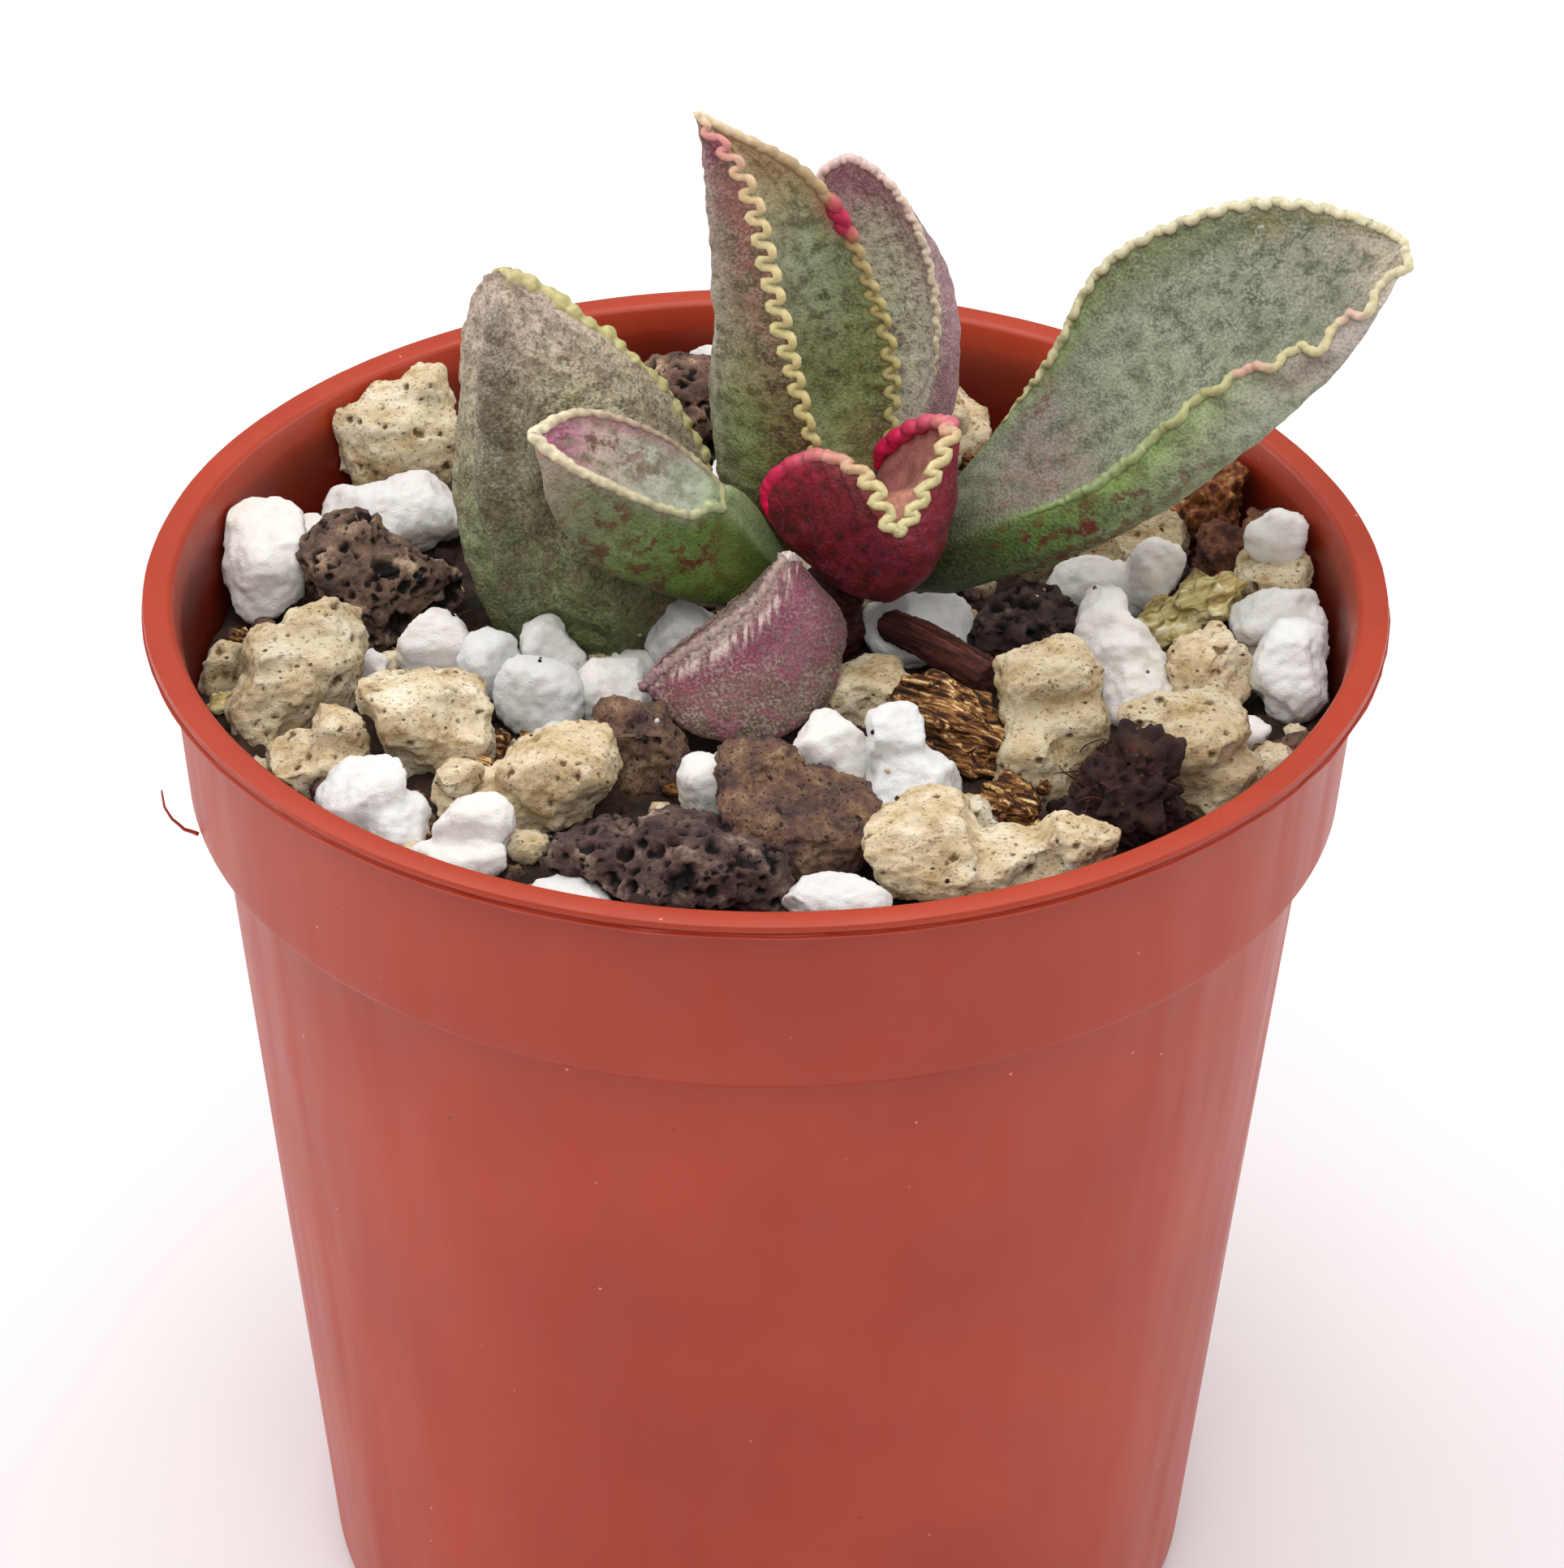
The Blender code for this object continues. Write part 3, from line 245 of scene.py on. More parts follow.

# Skins: colours along the upper face and the back from the stalk to the tip, then
# touches of colour (t, turn, reach along, reach round, colour, strength), where the
# dark mottling, the red-brown spots and the felt's streaks show (same places, with an
# amount), creases (places along the leaf, width round the section, depth), fine wrinkles
# (how many round it, how many along it, depth), both given painted shade as deep as they
# sink, the size of the mottling, how much pale scurf lies on it, the whole leaf's
# lightness and the bumps of the skin (size, height).
SKINS = {
    "leaf_tall": dict(
        upper=("#665c36", "#6c6c3e", "#757b4c", "#80855e", "#8a8c72", "#95825e", "#93755a"),
        back=("#64442c", "#726a38", "#767548", "#7d7558", "#745f50", "#6c4c46", "#602c40"),
        touches=[
            (0.91, 0.06, 0.06, 0.2, "#5f1c3c", 0.95), (0.97, 0.1, 0.03, 0.3, "#a8805f", 0.5),
            (0.75, 0.05, 0.12, 0.1, "#6e3c38", 0.8), (0.6, 0.02, 0.16, 0.07, "#74503a", 0.7),
            (0.34, 0.03, 0.14, 0.07, "#54341a", 0.9), (0.34, 0.2, 0.14, 0.14, "#6c7c46", 0.7),
            # (0.55, -0.2): the pale line beside the furrow, a painted highlight on its ridge
            (0.55, 0.33, 0.3, 0.1, "#98978a", 0.6), (0.55, -0.2, 0.5, 0.05, "#a6a692", 0.8),
            (0.5, -0.55, 0.3, 0.1, "#98a085", 0.6), (0.25, -0.66, 0.15, 0.1, "#8d9272", 0.6),
            (0.5, -0.93, 0.3, 0.07, "#5c6428", 0.8), (0.42, -0.8, 0.1, 0.12, "#5e6c3a", 0.6),
            (0.66, -0.84, 0.1, 0.12, "#7d9270", 0.5), (0.74, 0.98, 0.035, 0.09, "#a8244c", 0.9),
            (0.88, -0.85, 0.07, 0.2, "#8f6f52", 0.8), (0.12, 0.1, 0.08, 0.5, "#4a3226", 0.8),
            (0.27, -0.93, 0.06, 0.08, "#6a5034", 0.7)],
        mottled=[(0.5, 0.15, 0.6, 0.5, 0.7), (0.5, -0.85, 0.45, 0.2, 0.9), (0.4, 0.08, 0.3, 0.12, 0.9),
                 (0.5, -0.5, 0.5, 0.3, 0.4)],
        spotted=[(0.42, 0.04, 0.25, 0.07, 0.9), (0.2, 0.1, 0.12, 0.2, 0.7), (0.3, -0.95, 0.2, 0.1, 0.6)],
        mottle="#54562c", spot="#4f2f1a", grain=0.7, scurf=0.45, light=1.32, wrinkles=(7.0, 1.6, 0.16),
        bumps=[(2.4, 0.14), (0.9, 0.1), (0.4, 0.06)],
        creases=[([(0.1, -0.27), (0.3, -0.26), (0.55, -0.25), (0.75, -0.25), (0.9, -0.27)], 0.035, 0.6),
                 ([(0.1, -0.5), (0.4, -0.55), (0.7, -0.5)], 0.04, 0.12)]),
    "leaf_back": dict(
        upper=("#74685a", "#8f8676", "#9a9486", "#9c9688", "#988880", "#8a666a", "#93666c"),
        back=("#544044", "#6e5254", "#7c5a5e", "#805e62", "#785a5c", "#745456", "#8a6468"),
        touches=[
            (0.5, -0.5, 0.24, 0.2, "#9fa284", 0.85), (0.3, -0.3, 0.14, 0.2, "#7a705a", 0.5),
            (0.85, -0.4, 0.1, 0.5, "#80505e", 0.75), (0.66, -0.9, 0.14, 0.1, "#8b5c68", 0.6),
            (0.96, -0.2, 0.05, 1.0, "#cda4a2", 0.6)],
        mottled=[(0.5, -0.5, 0.6, 0.6, 0.6), (0.5, 0.8, 0.5, 0.4, 0.4)],
        spotted=[(0.6, -0.5, 0.4, 0.5, 0.15)],
        mottle="#6f5254", spot="#5c3a40", grain=0.4, scurf=0.65, light=1.42, wrinkles=(9.0, 1.6, 0.14),
        bumps=[(2.4, 0.12), (0.9, 0.08), (0.35, 0.05)], creases=[]),
    "leaf_right": dict(
        upper=("#4a5530", "#6d7058", "#78766a", "#757964", "#727661", "#726f60", "#8a8470"),
        back=("#0c1006", "#324418", "#5c7a3a", "#88926c", "#9c9c86", "#a09690", "#b0aa9a"),
        touches=[
            (0.8, -0.86, 0.16, 0.1, "#4e5428", 0.8), (0.6, -0.93, 0.14, 0.08, "#5a6434", 0.75),
            (0.4, -0.95, 0.14, 0.06, "#708448", 0.7), (0.36, -0.5, 0.07, 0.25, "#6c504e", 0.6),
            (0.3, -0.2, 0.06, 0.2, "#7a6660", 0.5), (0.5, -0.4, 0.12, 0.3, "#80896e", 0.5),
            (0.42, 0.0, 0.2, 0.06, "#84a052", 0.9), (0.28, 0.15, 0.1, 0.15, "#4e7426", 0.7),
            (0.72, 0.07, 0.08, 0.07, "#6d5550", 0.7), (0.15, 0.2, 0.1, 0.5, "#242c0e", 0.8),
            (0.95, -0.3, 0.06, 0.4, "#b0a48e", 0.7), (0.5, 0.3, 0.3, 0.15, "#88947a", 0.5),
            (0.72, -0.3, 0.1, 0.12, "#585f44", 0.6), (0.62, 0.2, 0.06, 0.1, "#a0aa96", 0.6)],
        mottled=[(0.75, -0.6, 0.35, 0.5, 0.8), (0.4, 0.15, 0.4, 0.25, 0.5), (0.4, -0.5, 0.3, 0.4, 0.6)],
        spotted=[(0.38, 0.12, 0.08, 0.12, 1.0), (0.28, 0.1, 0.06, 0.08, 1.0), (0.33, 0.28, 0.14, 0.1, 1.0),
                 (0.36, -0.85, 0.05, 0.1, 0.7), (0.47, 0.16, 0.09, 0.1, 0.5), (0.3, -0.3, 0.1, 0.3, 0.4)],
        mottle="#3f4a2c", spot="#6a2a22", grain=0.75, scurf=0.45, light=1.03, wrinkles=(5.0, 3.0, 0.06),
        bumps=[(2.6, 0.15), (1.1, 0.08), (0.45, 0.05)], creases=[]),
    "leaf_left": dict(
        upper=("#4a3f2c", "#6d6a4e", "#7f775e", "#8a7d68", "#93826f", "#9a8878", "#a58e6a"),
        back=("#4a3a26", "#66693f", "#747552", "#80795e", "#8a7e68", "#968476", "#a08c7a"),
        touches=[
            (0.22, 0.35, 0.12, 0.25, "#566a3a", 0.7), (0.3, 0.2, 0.1, 0.14, "#6c5c42", 0.6),
            (0.35, 0.66, 0.14, 0.1, "#687852", 0.6), (0.6, 0.25, 0.14, 0.14, "#8a7c64", 0.4),
            (0.08, 0.5, 0.07, 1.0, "#40301f", 0.9), (0.8, 0.6, 0.14, 0.2, "#a08e82", 0.5),
            (0.55, 0.36, 0.1, 0.1, "#93966e", 0.5), (0.45, 0.12, 0.1, 0.08, "#806a58", 0.5),
            (0.2, 0.2, 0.05, 0.1, "#553f2c", 0.8)],
        mottled=[(0.5, 0.4, 0.6, 0.7, 0.75)], spotted=[(0.5, 0.4, 0.6, 0.6, 0.5)],
        mottle="#4f5036", spot="#5b4632", grain=0.34, scurf=0.75, light=1.48, wrinkles=(6.0, 2.4, 0.36),
        bumps=[(2.4, 0.3), (1.1, 0.22), (0.5, 0.12), (0.25, 0.07)],
        creases=[
            ([(0.1, 0.56), (0.4, 0.58), (0.52, 0.6), (0.61, 0.58), (0.76, 0.53), (0.9, 0.5)], 0.05, 1.15),
            ([(0.36, 0.5), (0.46, 0.48), (0.58, 0.47), (0.72, 0.44)], 0.038, 0.75),
            ([(0.12, 0.3), (0.25, 0.36), (0.36, 0.44), (0.45, 0.5)], 0.03, 0.35),
            ([(0.2, 0.74), (0.4, 0.76), (0.6, 0.74)], 0.03, 0.3)]),
    "leaf_club": dict(
        upper=("#5d7038", "#84946a", "#929884", "#969686", "#a08a80", "#966072", "#a0566a"),
        back=("#3a4214", "#4f6826", "#56742e", "#627440", "#727656", "#8d8270", "#a59a88"),
        touches=[
            (0.93, 0.07, 0.02, 0.05, "#b02050", 0.9), (0.88, -0.6, 0.08, 0.5, "#94486a", 0.8),
            (0.6, -0.94, 0.25, 0.06, "#8d5262", 0.7), (0.5, 0.28, 0.2, 0.12, "#5a7e2c", 0.5),
            (0.7, 0.25, 0.2, 0.2, "#74785a", 0.5), (0.3, 0.45, 0.3, 0.15, "#3d3c1c", 0.6),
            (0.2, 0.2, 0.1, 0.2, "#66702e", 0.5)],
        mottled=[(0.5, 0.2, 0.4, 0.3, 0.5), (0.6, -0.5, 0.4, 0.4, 0.6)],
        spotted=[(0.62, 0.08, 0.1, 0.09, 1.0), (0.45, 0.1, 0.12, 0.09, 1.0), (0.32, 0.14, 0.12, 0.12, 1.0),
                 (0.5, 0.3, 0.3, 0.16, 0.9), (0.7, -0.6, 0.3, 0.4, 0.8)],
        mottle="#4a5f26", spot="#5e301e", grain=0.6, scurf=0.25, light=1.0, wrinkles=(5.0, 2.0, 0.05),
        bumps=[(2.4, 0.14), (0.9, 0.07), (0.4, 0.03)], creases=[]),
    "leaf_young": dict(
        upper=("#5a2422", "#8a4a4c", "#9c5a5c", "#a86862", "#aa7064", "#aa7260", "#a87260"),
        back=("#2c0304", "#52060c", "#640712", "#6c0818", "#6a0a1a", "#6a0c1e", "#7c1426"),
        touches=[
            (0.5, 0.0, 0.2, 0.05, "#b00838", 0.85), (0.6, 0.97, 0.2, 0.06, "#b8124a", 0.85),
            (0.35, 0.3, 0.15, 0.3, "#400408", 0.6), (0.75, 0.3, 0.15, 0.12, "#7c1438", 0.6),
            (0.85, 0.6, 0.12, 0.15, "#7a1838", 0.5), (0.7, -0.5, 0.2, 0.3, "#a06858", 0.6)],
        mottled=[(0.6, -0.5, 0.4, 0.4, 0.4), (0.5, 0.3, 0.6, 0.5, 0.8)],
        spotted=[(0.5, 0.3, 0.6, 0.6, 0.4)],
        mottle="#380408", spot="#7e2440", grain=0.6, scurf=0.1, light=1.0, wrinkles=(5.0, 3.0, 0.05),
        bumps=[(1.8, 0.16), (0.7, 0.09), (0.35, 0.04)], creases=[]),
    "leaf_half": dict(
        upper=("#6d5a48", "#94796c", "#9c8478", "#9a8074", "#8d6f68", "#83625f", "#8a6a68"),
        back=("#5c3036", "#824a54", "#8e5458", "#8c5a58", "#8a6056", "#885c52", "#885a5c"),
        touches=[
            (0.52, 0.08, 0.45, 0.035, "#8a2050", 0.9), (0.5, 0.0, 0.6, 0.02, "#ccb2aa", 0.9),
            (0.4, 0.2, 0.16, 0.1, "#98566a", 0.5), (0.7, 0.26, 0.2, 0.12, "#8a6054", 0.7),
            # (0.5, 0.38): the lower rim's dark reddish brown, partly its own colour and partly painted
            # shade
            (0.5, 0.38, 0.6, 0.15, "#5a4036", 0.9), (0.3, 0.1, 0.08, 0.1, "#b06a7e", 0.6),
            (0.8, 0.1, 0.1, 0.1, "#8a3a4c", 0.7), (0.45, 0.32, 0.1, 0.06, "#8f8068", 0.6)],
        mottled=[(0.5, 0.3, 0.6, 0.5, 0.8)], spotted=[(0.5, 0.3, 0.6, 0.5, 0.5)],
        streaked=[(0.5, 0.04, 0.5, 0.018, 1.0)],
        mottle="#664e46", spot="#80344c", grain=0.34, scurf=0.6, light=0.6,
        bumps=[(2.0, 0.14), (0.8, 0.08), (0.3, 0.06)], creases=[]),
}
LEAF_SLOT = {
    "leaf_tall": "green_leaf", "leaf_back": "grey_leaf", "leaf_right": "green_leaf",
    "leaf_left": "grey_leaf", "leaf_club": "green_leaf",
    "leaf_young": "crimson_leaf", "leaf_half": "pink_leaf",
}
LEAF_AROUND = 108
LEAF_ALONG = 140
LEAF_EDGE = 0.5
TIP_SPREAD = 1.3
BARE_STALK = 0.15              # share of the bloom that the stalk still has
RUN_STEPS = 240
RIPPLE_REACH = 40              # the higher, the less the rim's waves reach into the skin

# How each kind of grain is weathered: how square its blocks are (1 is a ball), how many
# flat breaks they have and how far from the middle, how much they swell before dents
# and pores eat into them, the grid and the rounds of smoothing when a grain is made anew,
# lumps (size, height), puffs or, below 0, dents (size, height), pores (spacing, radius,
# depth) and, in bark, the way that its fibres run
WEATHER = {
    "pumice": dict(square=0.62, breaks=6, cut=0.84, swell=0.5, grid=0.15, smooth=1,
                   lumps=[(2.6, 0.3), (1.0, 0.16), (0.45, 0.13), (0.25, 0.1)],
                   puffs=[(1.7, -0.22)], pores=[(2.2, 0.36, 0.5), (1.1, 0.22, 0.3), (0.7, 0.15, 0.2)]),
    "perlite": dict(square=0.72, breaks=7, cut=0.8, swell=0.35, grid=0.16, smooth=1,
                    lumps=[(2.0, 0.18), (0.8, 0.1), (0.4, 0.08), (0.27, 0.07)],
                    puffs=[(0.4, 0.05)], pores=[(1.5, 0.1, 0.1)]),
    "lava": dict(square=0.74, breaks=5, cut=0.8, swell=0.6, grid=0.13, smooth=1,
                 lumps=[(2.0, 0.3), (0.8, 0.2), (0.36, 0.14)],
                 puffs=[(1.5, -0.2)], pores=[(1.8, 0.8, 0.9), (0.9, 0.38, 0.5), (0.5, 0.2, 0.32)]),
    "scoria": dict(square=0.74, breaks=5, cut=0.8, swell=0.4, grid=0.145, smooth=1,
                   lumps=[(2.0, 0.24), (0.8, 0.2), (0.36, 0.2), (0.24, 0.14)],
                   puffs=[(1.8, -0.2)], pores=[(0.8, 0.2, 0.24)]),
    "bark": dict(square=0.6, breaks=3, cut=0.75, swell=0.3, grid=0.13, smooth=0,
                 lumps=[(0.8, 0.6), (0.36, 0.4), (0.2, 0.12)],
                 puffs=[], pores=[], fibre=(0.78, -0.6, -0.15)),
    "flake": dict(square=0.85, breaks=2, cut=0.85, swell=0.1, grid=0.12, smooth=1,
                  lumps=[(1.0, 0.45), (0.4, 0.22)], puffs=[(0.7, -0.35)], pores=[]),
    "peat": dict(square=0.9, breaks=0, cut=1.0, swell=0.2, grid=0.12, smooth=0,
                 lumps=[(1.3, 0.5), (0.5, 0.45), (0.25, 0.32)],
                 puffs=[(0.75, 0.4), (0.36, 0.3)], pores=[(0.7, 0.2, 0.3)]),
}
SWOLLEN = 1.05                 # how much a grain without blocks swells into its gaps
WALL_GAP = 0.1                 # what a grain keeps clear of the pot's wall
DRAWN_OUT = 0.85               # how far the lumps of wood are drawn out along its fibres
COARSE = 1.4                   # how much wider the grid is on chips and on grains out of sight

# Forms of the grains that show: rounded blocks over a shrunken core of the frame's own
# grain. Each block's middle (across, away, up) and its width, depth and height are shares
# of the grain's box in the frame, judged.
WHOLE = [(0.5, 0.5, 0.55, 0.95, 0.85, 0.9)]
FORMS = {
    "pumice_1": [(0.55, 0.5, 0.5, 0.8, 0.9, 0.9), (0.2, 0.45, 0.6, 0.4, 0.6, 0.5),
                 (0.7, 0.6, 0.9, 0.35, 0.5, 0.4)],
    "perlite_1": [(0.5, 0.55, 0.75, 0.9, 0.8, 0.5), (0.5, 0.4, 0.45, 0.85, 0.8, 0.9)],
    "perlite_2": [(0.55, 0.5, 0.5, 0.95, 0.9, 0.75), (0.2, 0.5, 0.5, 0.5, 0.6, 0.5)],
    "lava_1": [(0.5, 0.5, 0.5, 0.95, 0.9, 0.95), (0.35, 0.6, 0.9, 0.4, 0.45, 0.35)],
    "pumice_2": [(0.65, 0.65, 0.8, 0.5, 0.35, 0.6), (0.5, 0.5, 0.55, 0.75, 0.5, 0.75),
                 (0.3, 0.3, 0.35, 0.6, 0.4, 0.7)],
    "pumice_3": [(0.65, 0.6, 0.75, 0.5, 0.5, 0.6), (0.5, 0.45, 0.4, 0.9, 0.8, 0.65)],
    "pumice_4": [(0.45, 0.5, 0.7, 0.85, 0.85, 0.6), (0.65, 0.35, 0.35, 0.5, 0.5, 0.7)],
    "perlite_3": [(0.6, 0.5, 0.6, 0.85, 0.85, 0.7)],
    "perlite_9": [(0.4, 0.6, 0.65, 0.75, 0.8, 0.7), (0.7, 0.35, 0.4, 0.5, 0.6, 0.6)],
    "perlite_10": [(0.55, 0.65, 0.8, 0.7, 0.6, 0.5), (0.45, 0.35, 0.45, 0.9, 0.55, 0.45)],
    "pumice_10": WHOLE, **{f"perlite_{n}": WHOLE for n in (4, 5, 6, 7, 8, 11, 13, 18)},
    "scoria_1": [(0.5, 0.5, 0.5, 0.95, 0.95, 1.0), (0.35, 0.6, 0.9, 0.45, 0.45, 0.4)],
    "pumice_5": [(0.65, 0.5, 0.6, 0.6, 0.8, 0.95), (0.15, 0.45, 0.35, 0.4, 0.5, 0.5)],
    "lava_2": [(0.6, 0.5, 0.5, 0.8, 1.0, 0.8), (0.2, 0.6, 0.5, 0.4, 0.6, 0.6),
               (0.9, 0.4, 0.3, 0.3, 0.5, 0.5)],
    "scoria_2": [(0.5, 0.5, 0.5, 0.95, 0.95, 0.95), (0.3, 0.65, 0.9, 0.5, 0.45, 0.4)],
    "perlite_12": [(0.5, 0.5, 0.65, 0.95, 0.8, 0.45)],
    "perlite_14": [(0.35, 0.6, 0.8, 0.6, 0.5, 0.6), (0.55, 0.45, 0.4, 0.95, 0.75, 0.75)],
    "pumice_6": [(0.25, 0.5, 0.6, 0.5, 0.9, 0.9), (0.5, 0.45, 0.4, 0.5, 0.7, 0.6),
                 (0.85, 0.5, 0.65, 0.3, 0.55, 0.6),
                 (0.7, 0.4, 0.3, 0.5, 0.5, 0.4)],
    "pumice_7": [(0.4, 0.6, 0.6, 0.8, 0.8, 0.55), (0.75, 0.35, 0.5, 0.5, 0.5, 0.6)],
    "bark_1": [(0.5, 0.5, 0.55, 0.8, 0.7, 0.6), (0.25, 0.75, 0.65, 0.5, 0.4, 0.5),
               (0.75, 0.25, 0.45, 0.5, 0.4, 0.5)],
    "pumice_8": [(0.45, 0.6, 0.9, 0.85, 0.45, 0.65), (0.5, 0.5, 0.5, 0.9, 0.5, 0.75),
                 (0.35, 0.25, 0.25, 0.65, 0.35, 0.9)],
    "perlite_15": [(0.45, 0.5, 0.5, 0.85, 1.0, 0.8)],
    "lava_3": [(0.55, 0.5, 0.6, 0.9, 0.8, 0.6), (0.25, 0.4, 0.4, 0.5, 0.6, 0.7)],
    "perlite_16": [(0.3, 0.5, 0.5, 0.6, 0.7, 0.45), (0.8, 0.5, 0.65, 0.4, 0.6, 0.8)],
    "pumice_9": [(1.1, 0.5, 0.5, 0.65, 0.8, 0.6), (0.7, 0.45, 0.35, 0.8, 0.7, 0.5)],
    "perlite_17": [(0.3, 0.8, 0.85, 0.55, 0.3, 0.5), (0.42, 0.62, 0.72, 0.7, 0.35, 0.65),
                   (0.58, 0.42, 0.55, 0.8, 0.35, 0.7), (0.7, 0.22, 0.35, 0.75, 0.35, 0.65)],
    "perlite_19": [(0.5, 0.5, 0.7, 0.95, 0.8, 0.45), (0.8, 0.4, 0.55, 0.5, 0.6, 0.4)],
    "pumice_11": [(0.5, 0.5, 0.55, 0.95, 0.9, 0.65)],
    "flake_1": [(0.7, 0.6, 0.75, 0.65, 0.9, 0.4), (0.3, 0.4, 0.5, 0.6, 0.8, 0.35)],
    "bark_2": [(0.5, 0.5, 0.6, 0.85, 0.8, 0.7), (0.7, 0.6, 0.8, 0.4, 0.5, 0.4)],
    "scoria_3": [(0.6, 0.45, 0.7, 0.55, 0.5, 0.5), (1.0, 0.65, 0.85, 0.5, 0.5, 0.6),
                 (0.5, 0.6, 0.85, 0.4, 0.4, 0.4)],
    "pumice_12": [(0.45, 0.5, 0.55, 0.9, 0.75, 0.9), (0.7, 0.35, 0.3, 0.6, 0.5, 0.7),
                  (0.25, 0.6, 0.75, 0.4, 0.35, 0.4)],
    "peat_1": [(0.7, 0.6, 0.9, 0.45, 0.4, 0.35), (0.55, 0.5, 0.6, 0.7, 0.65, 0.7),
               (0.3, 0.4, 0.35, 0.5, 0.45, 0.45)],
}
CORE = 0.72                    # how much of the frame's own grain stays under its blocks
CORE_DROP = 0.5

# Small grains that lie among the others: kind, x, y, width and height; they sit on
# whatever is under them
SMALL_GRAINS = [
    ("pumice", -24.0, -0.5, 2.0, 2.5), ("flake", -24.0, -3.0, 2.0, 1.0), ("perlite", -17.5, -0.5, 1.5, 2.0),
    ("perlite", -21.0, 10.5, 3.0, 2.5), ("perlite", -8.0, -18.5, 3.0, 1.5),
    ("perlite", 23.0, 7.0, 2.5, 2.0), ("perlite", 21.5, 9.5, 1.5, 1.0),
    ("pumice", 9.0, -12.0, 2.5, 2.0), ("pumice", 22.0, -8.0, 2.5, 2.5),
    ("lava", 19.0, 8.0, 2.0, 2.0), ("pumice", -10.0, -18.5, 1.5, 1.0), ("bark", 10.0, 18.0, 2.5, 2.0),
    ("pumice", 8.5, 18.5, 1.5, 1.5), ("perlite", -3.0, 24.0, 1.5, 1.5), ("pumice", 19.0, 5.5, 2.5, 1.5),
    ("pumice", 24.0, 1.0, 1.5, 2.0), ("bark", 19.0, 13.0, 1.5, 1.0), ("bark", -12.5, -9.5, 2.5, 2.0),
    ("bark", 10.5, -11.0, 2.0, 2.0), ("pumice", -13.0, -12.0, 2.0, 1.5),
]
SMALL_SEAT = 0.3               # share of a small grain's height that its middle stands over its seat

# Chips that fill the deepest gaps by a rule: how many, how wide and how far apart
CHIP_COUNT = 110
CHIP_SIZES = (1.1, 2.0)
CHIP_SPACING = 1.1
CHIP_TRIES = 14
CHIP_KINDS = ("pumice", "pumice", "scoria", "perlite", "bark", "scoria", "pumice", "lava")

# Grains whose stone differs from the rest of its kind: how much lighter in red, green, blue
LOTS = {"lava_1": (1.9, 1.75, 1.45), "lava_2": (1.15, 1.0, 1.0), "lava_3": (0.7, 0.6, 0.6),
        "lava_4": (2.2, 1.95, 1.6), "scoria_3": (1.0, 0.7, 0.55), "pumice_7": (0.84, 0.82, 0.78),
        "pumice_8": (0.82, 0.8, 0.76), "pumice_9": (0.76, 0.73, 0.68), "pumice_12": (0.82, 0.8, 0.76),
        "pumice_3": (1.06, 1.06, 1.08), "pumice_4": (1.08, 1.1, 1.14)}

SOIL_RISE = 0.6
SOIL_CUTS = 62
SOIL_STEPS = 130
SOIL_SKIRT = 0.3               # how far the crumb layer reaches below the soil's top
SKY = 51.5                     # height from which things are dropped on the grit
FULL = 48.2                    # above this height a spot is no gap
CRUMB_COUNT = 600
CRUMB_SIZES = (0.2, 0.6)
CRUMB_KINDS = ["peat"] * 5 + ["pumice"] * 5 + ["perlite"] + ["bark"] * 3 + ["scoria"] * 4
ON_TOP = 9                     # one crumb in so many falls anywhere, not into a gap

STEM_FOOT = 42.0
STEM_TOP = 50.6
STEM_ROWS = 60
STEM_STEPS = 56
TWIG_ENDS = (5.5, 1.7, 48.8), (10.0, -4.0, 49.4)
TWIG_RADIUS = 0.8
TWIG_BEND = 0.15
TWIG_ROWS = 60
LONE_ROOTLET = (-14.0, 0.6, 50.0), (0.3, -0.5, -1.2)
ROOTLET_TUFT = (15.2, -12.8, 49.6)
ROOTLET_COUNT = 46
ROOTLET_BENDS = 9

# Settings that many nodes share
COLOUR = dict(data_type="RGBA")
MULTIPLIED = dict(data_type="RGBA", blend_type="MULTIPLY")
SMOOTH = dict(interpolation_type="SMOOTHSTEP")
TIMES = dict(operation="MULTIPLY")
LESS = dict(operation="SUBTRACT")


# Colours, nodes and pieces

def linear(code):
    """The linear colour of an sRGB hex value."""
    parts = [int(code[i:i + 2], 16) / 255 for i in (1, 3, 5)]
    return (*(((c + 0.055) / 1.055) ** 2.4 if c > 0.04045 else c / 12.92 for c in parts), 1.0)


def shades(codes, light=1.0):
    """Linear colours as vectors that can be blended, made lighter by a factor."""
    return [Vector(linear(code)[:3]) * light for code in codes]


def level(values, t):
    """Value at t (0 to 1) on straight lines between evenly spaced numbers or vectors."""
    place = min(max(t, 0.0), 1.0) * (len(values) - 1)
    i = min(int(place), len(values) - 2)
    return values[i] + (values[i + 1] - values[i]) * (place - i)


def link(tree, source, target):
    """Link a socket, or the first output that a node has in use, to an input."""
    if isinstance(source, bpy.types.Node):
        source = next(output for output in source.outputs if output.enabled)
    tree.links.new(source, target)


def add(tree, kind, inputs=None, stops=None, **settings):
    """Add a shader node with its settings, its inputs set or linked and its ramp's stops."""
    node = tree.nodes.new("ShaderNode" + kind)
    for name, value in settings.items():
        setattr(node, name, value)
    for socket, value in (inputs or {}).items():
        if isinstance(value, (bpy.types.Node, bpy.types.NodeSocket)):
            link(tree, value, node.inputs[socket])
        else:
            node.inputs[socket].default_value = value
    if stops:
        elements = node.color_ramp.elements
        elements.remove(elements[1])
        for i, (place, code) in enumerate(stops):
            element = elements.new(place) if i else elements[0]
            element.position = place
            element.color = linear(code)
    return node


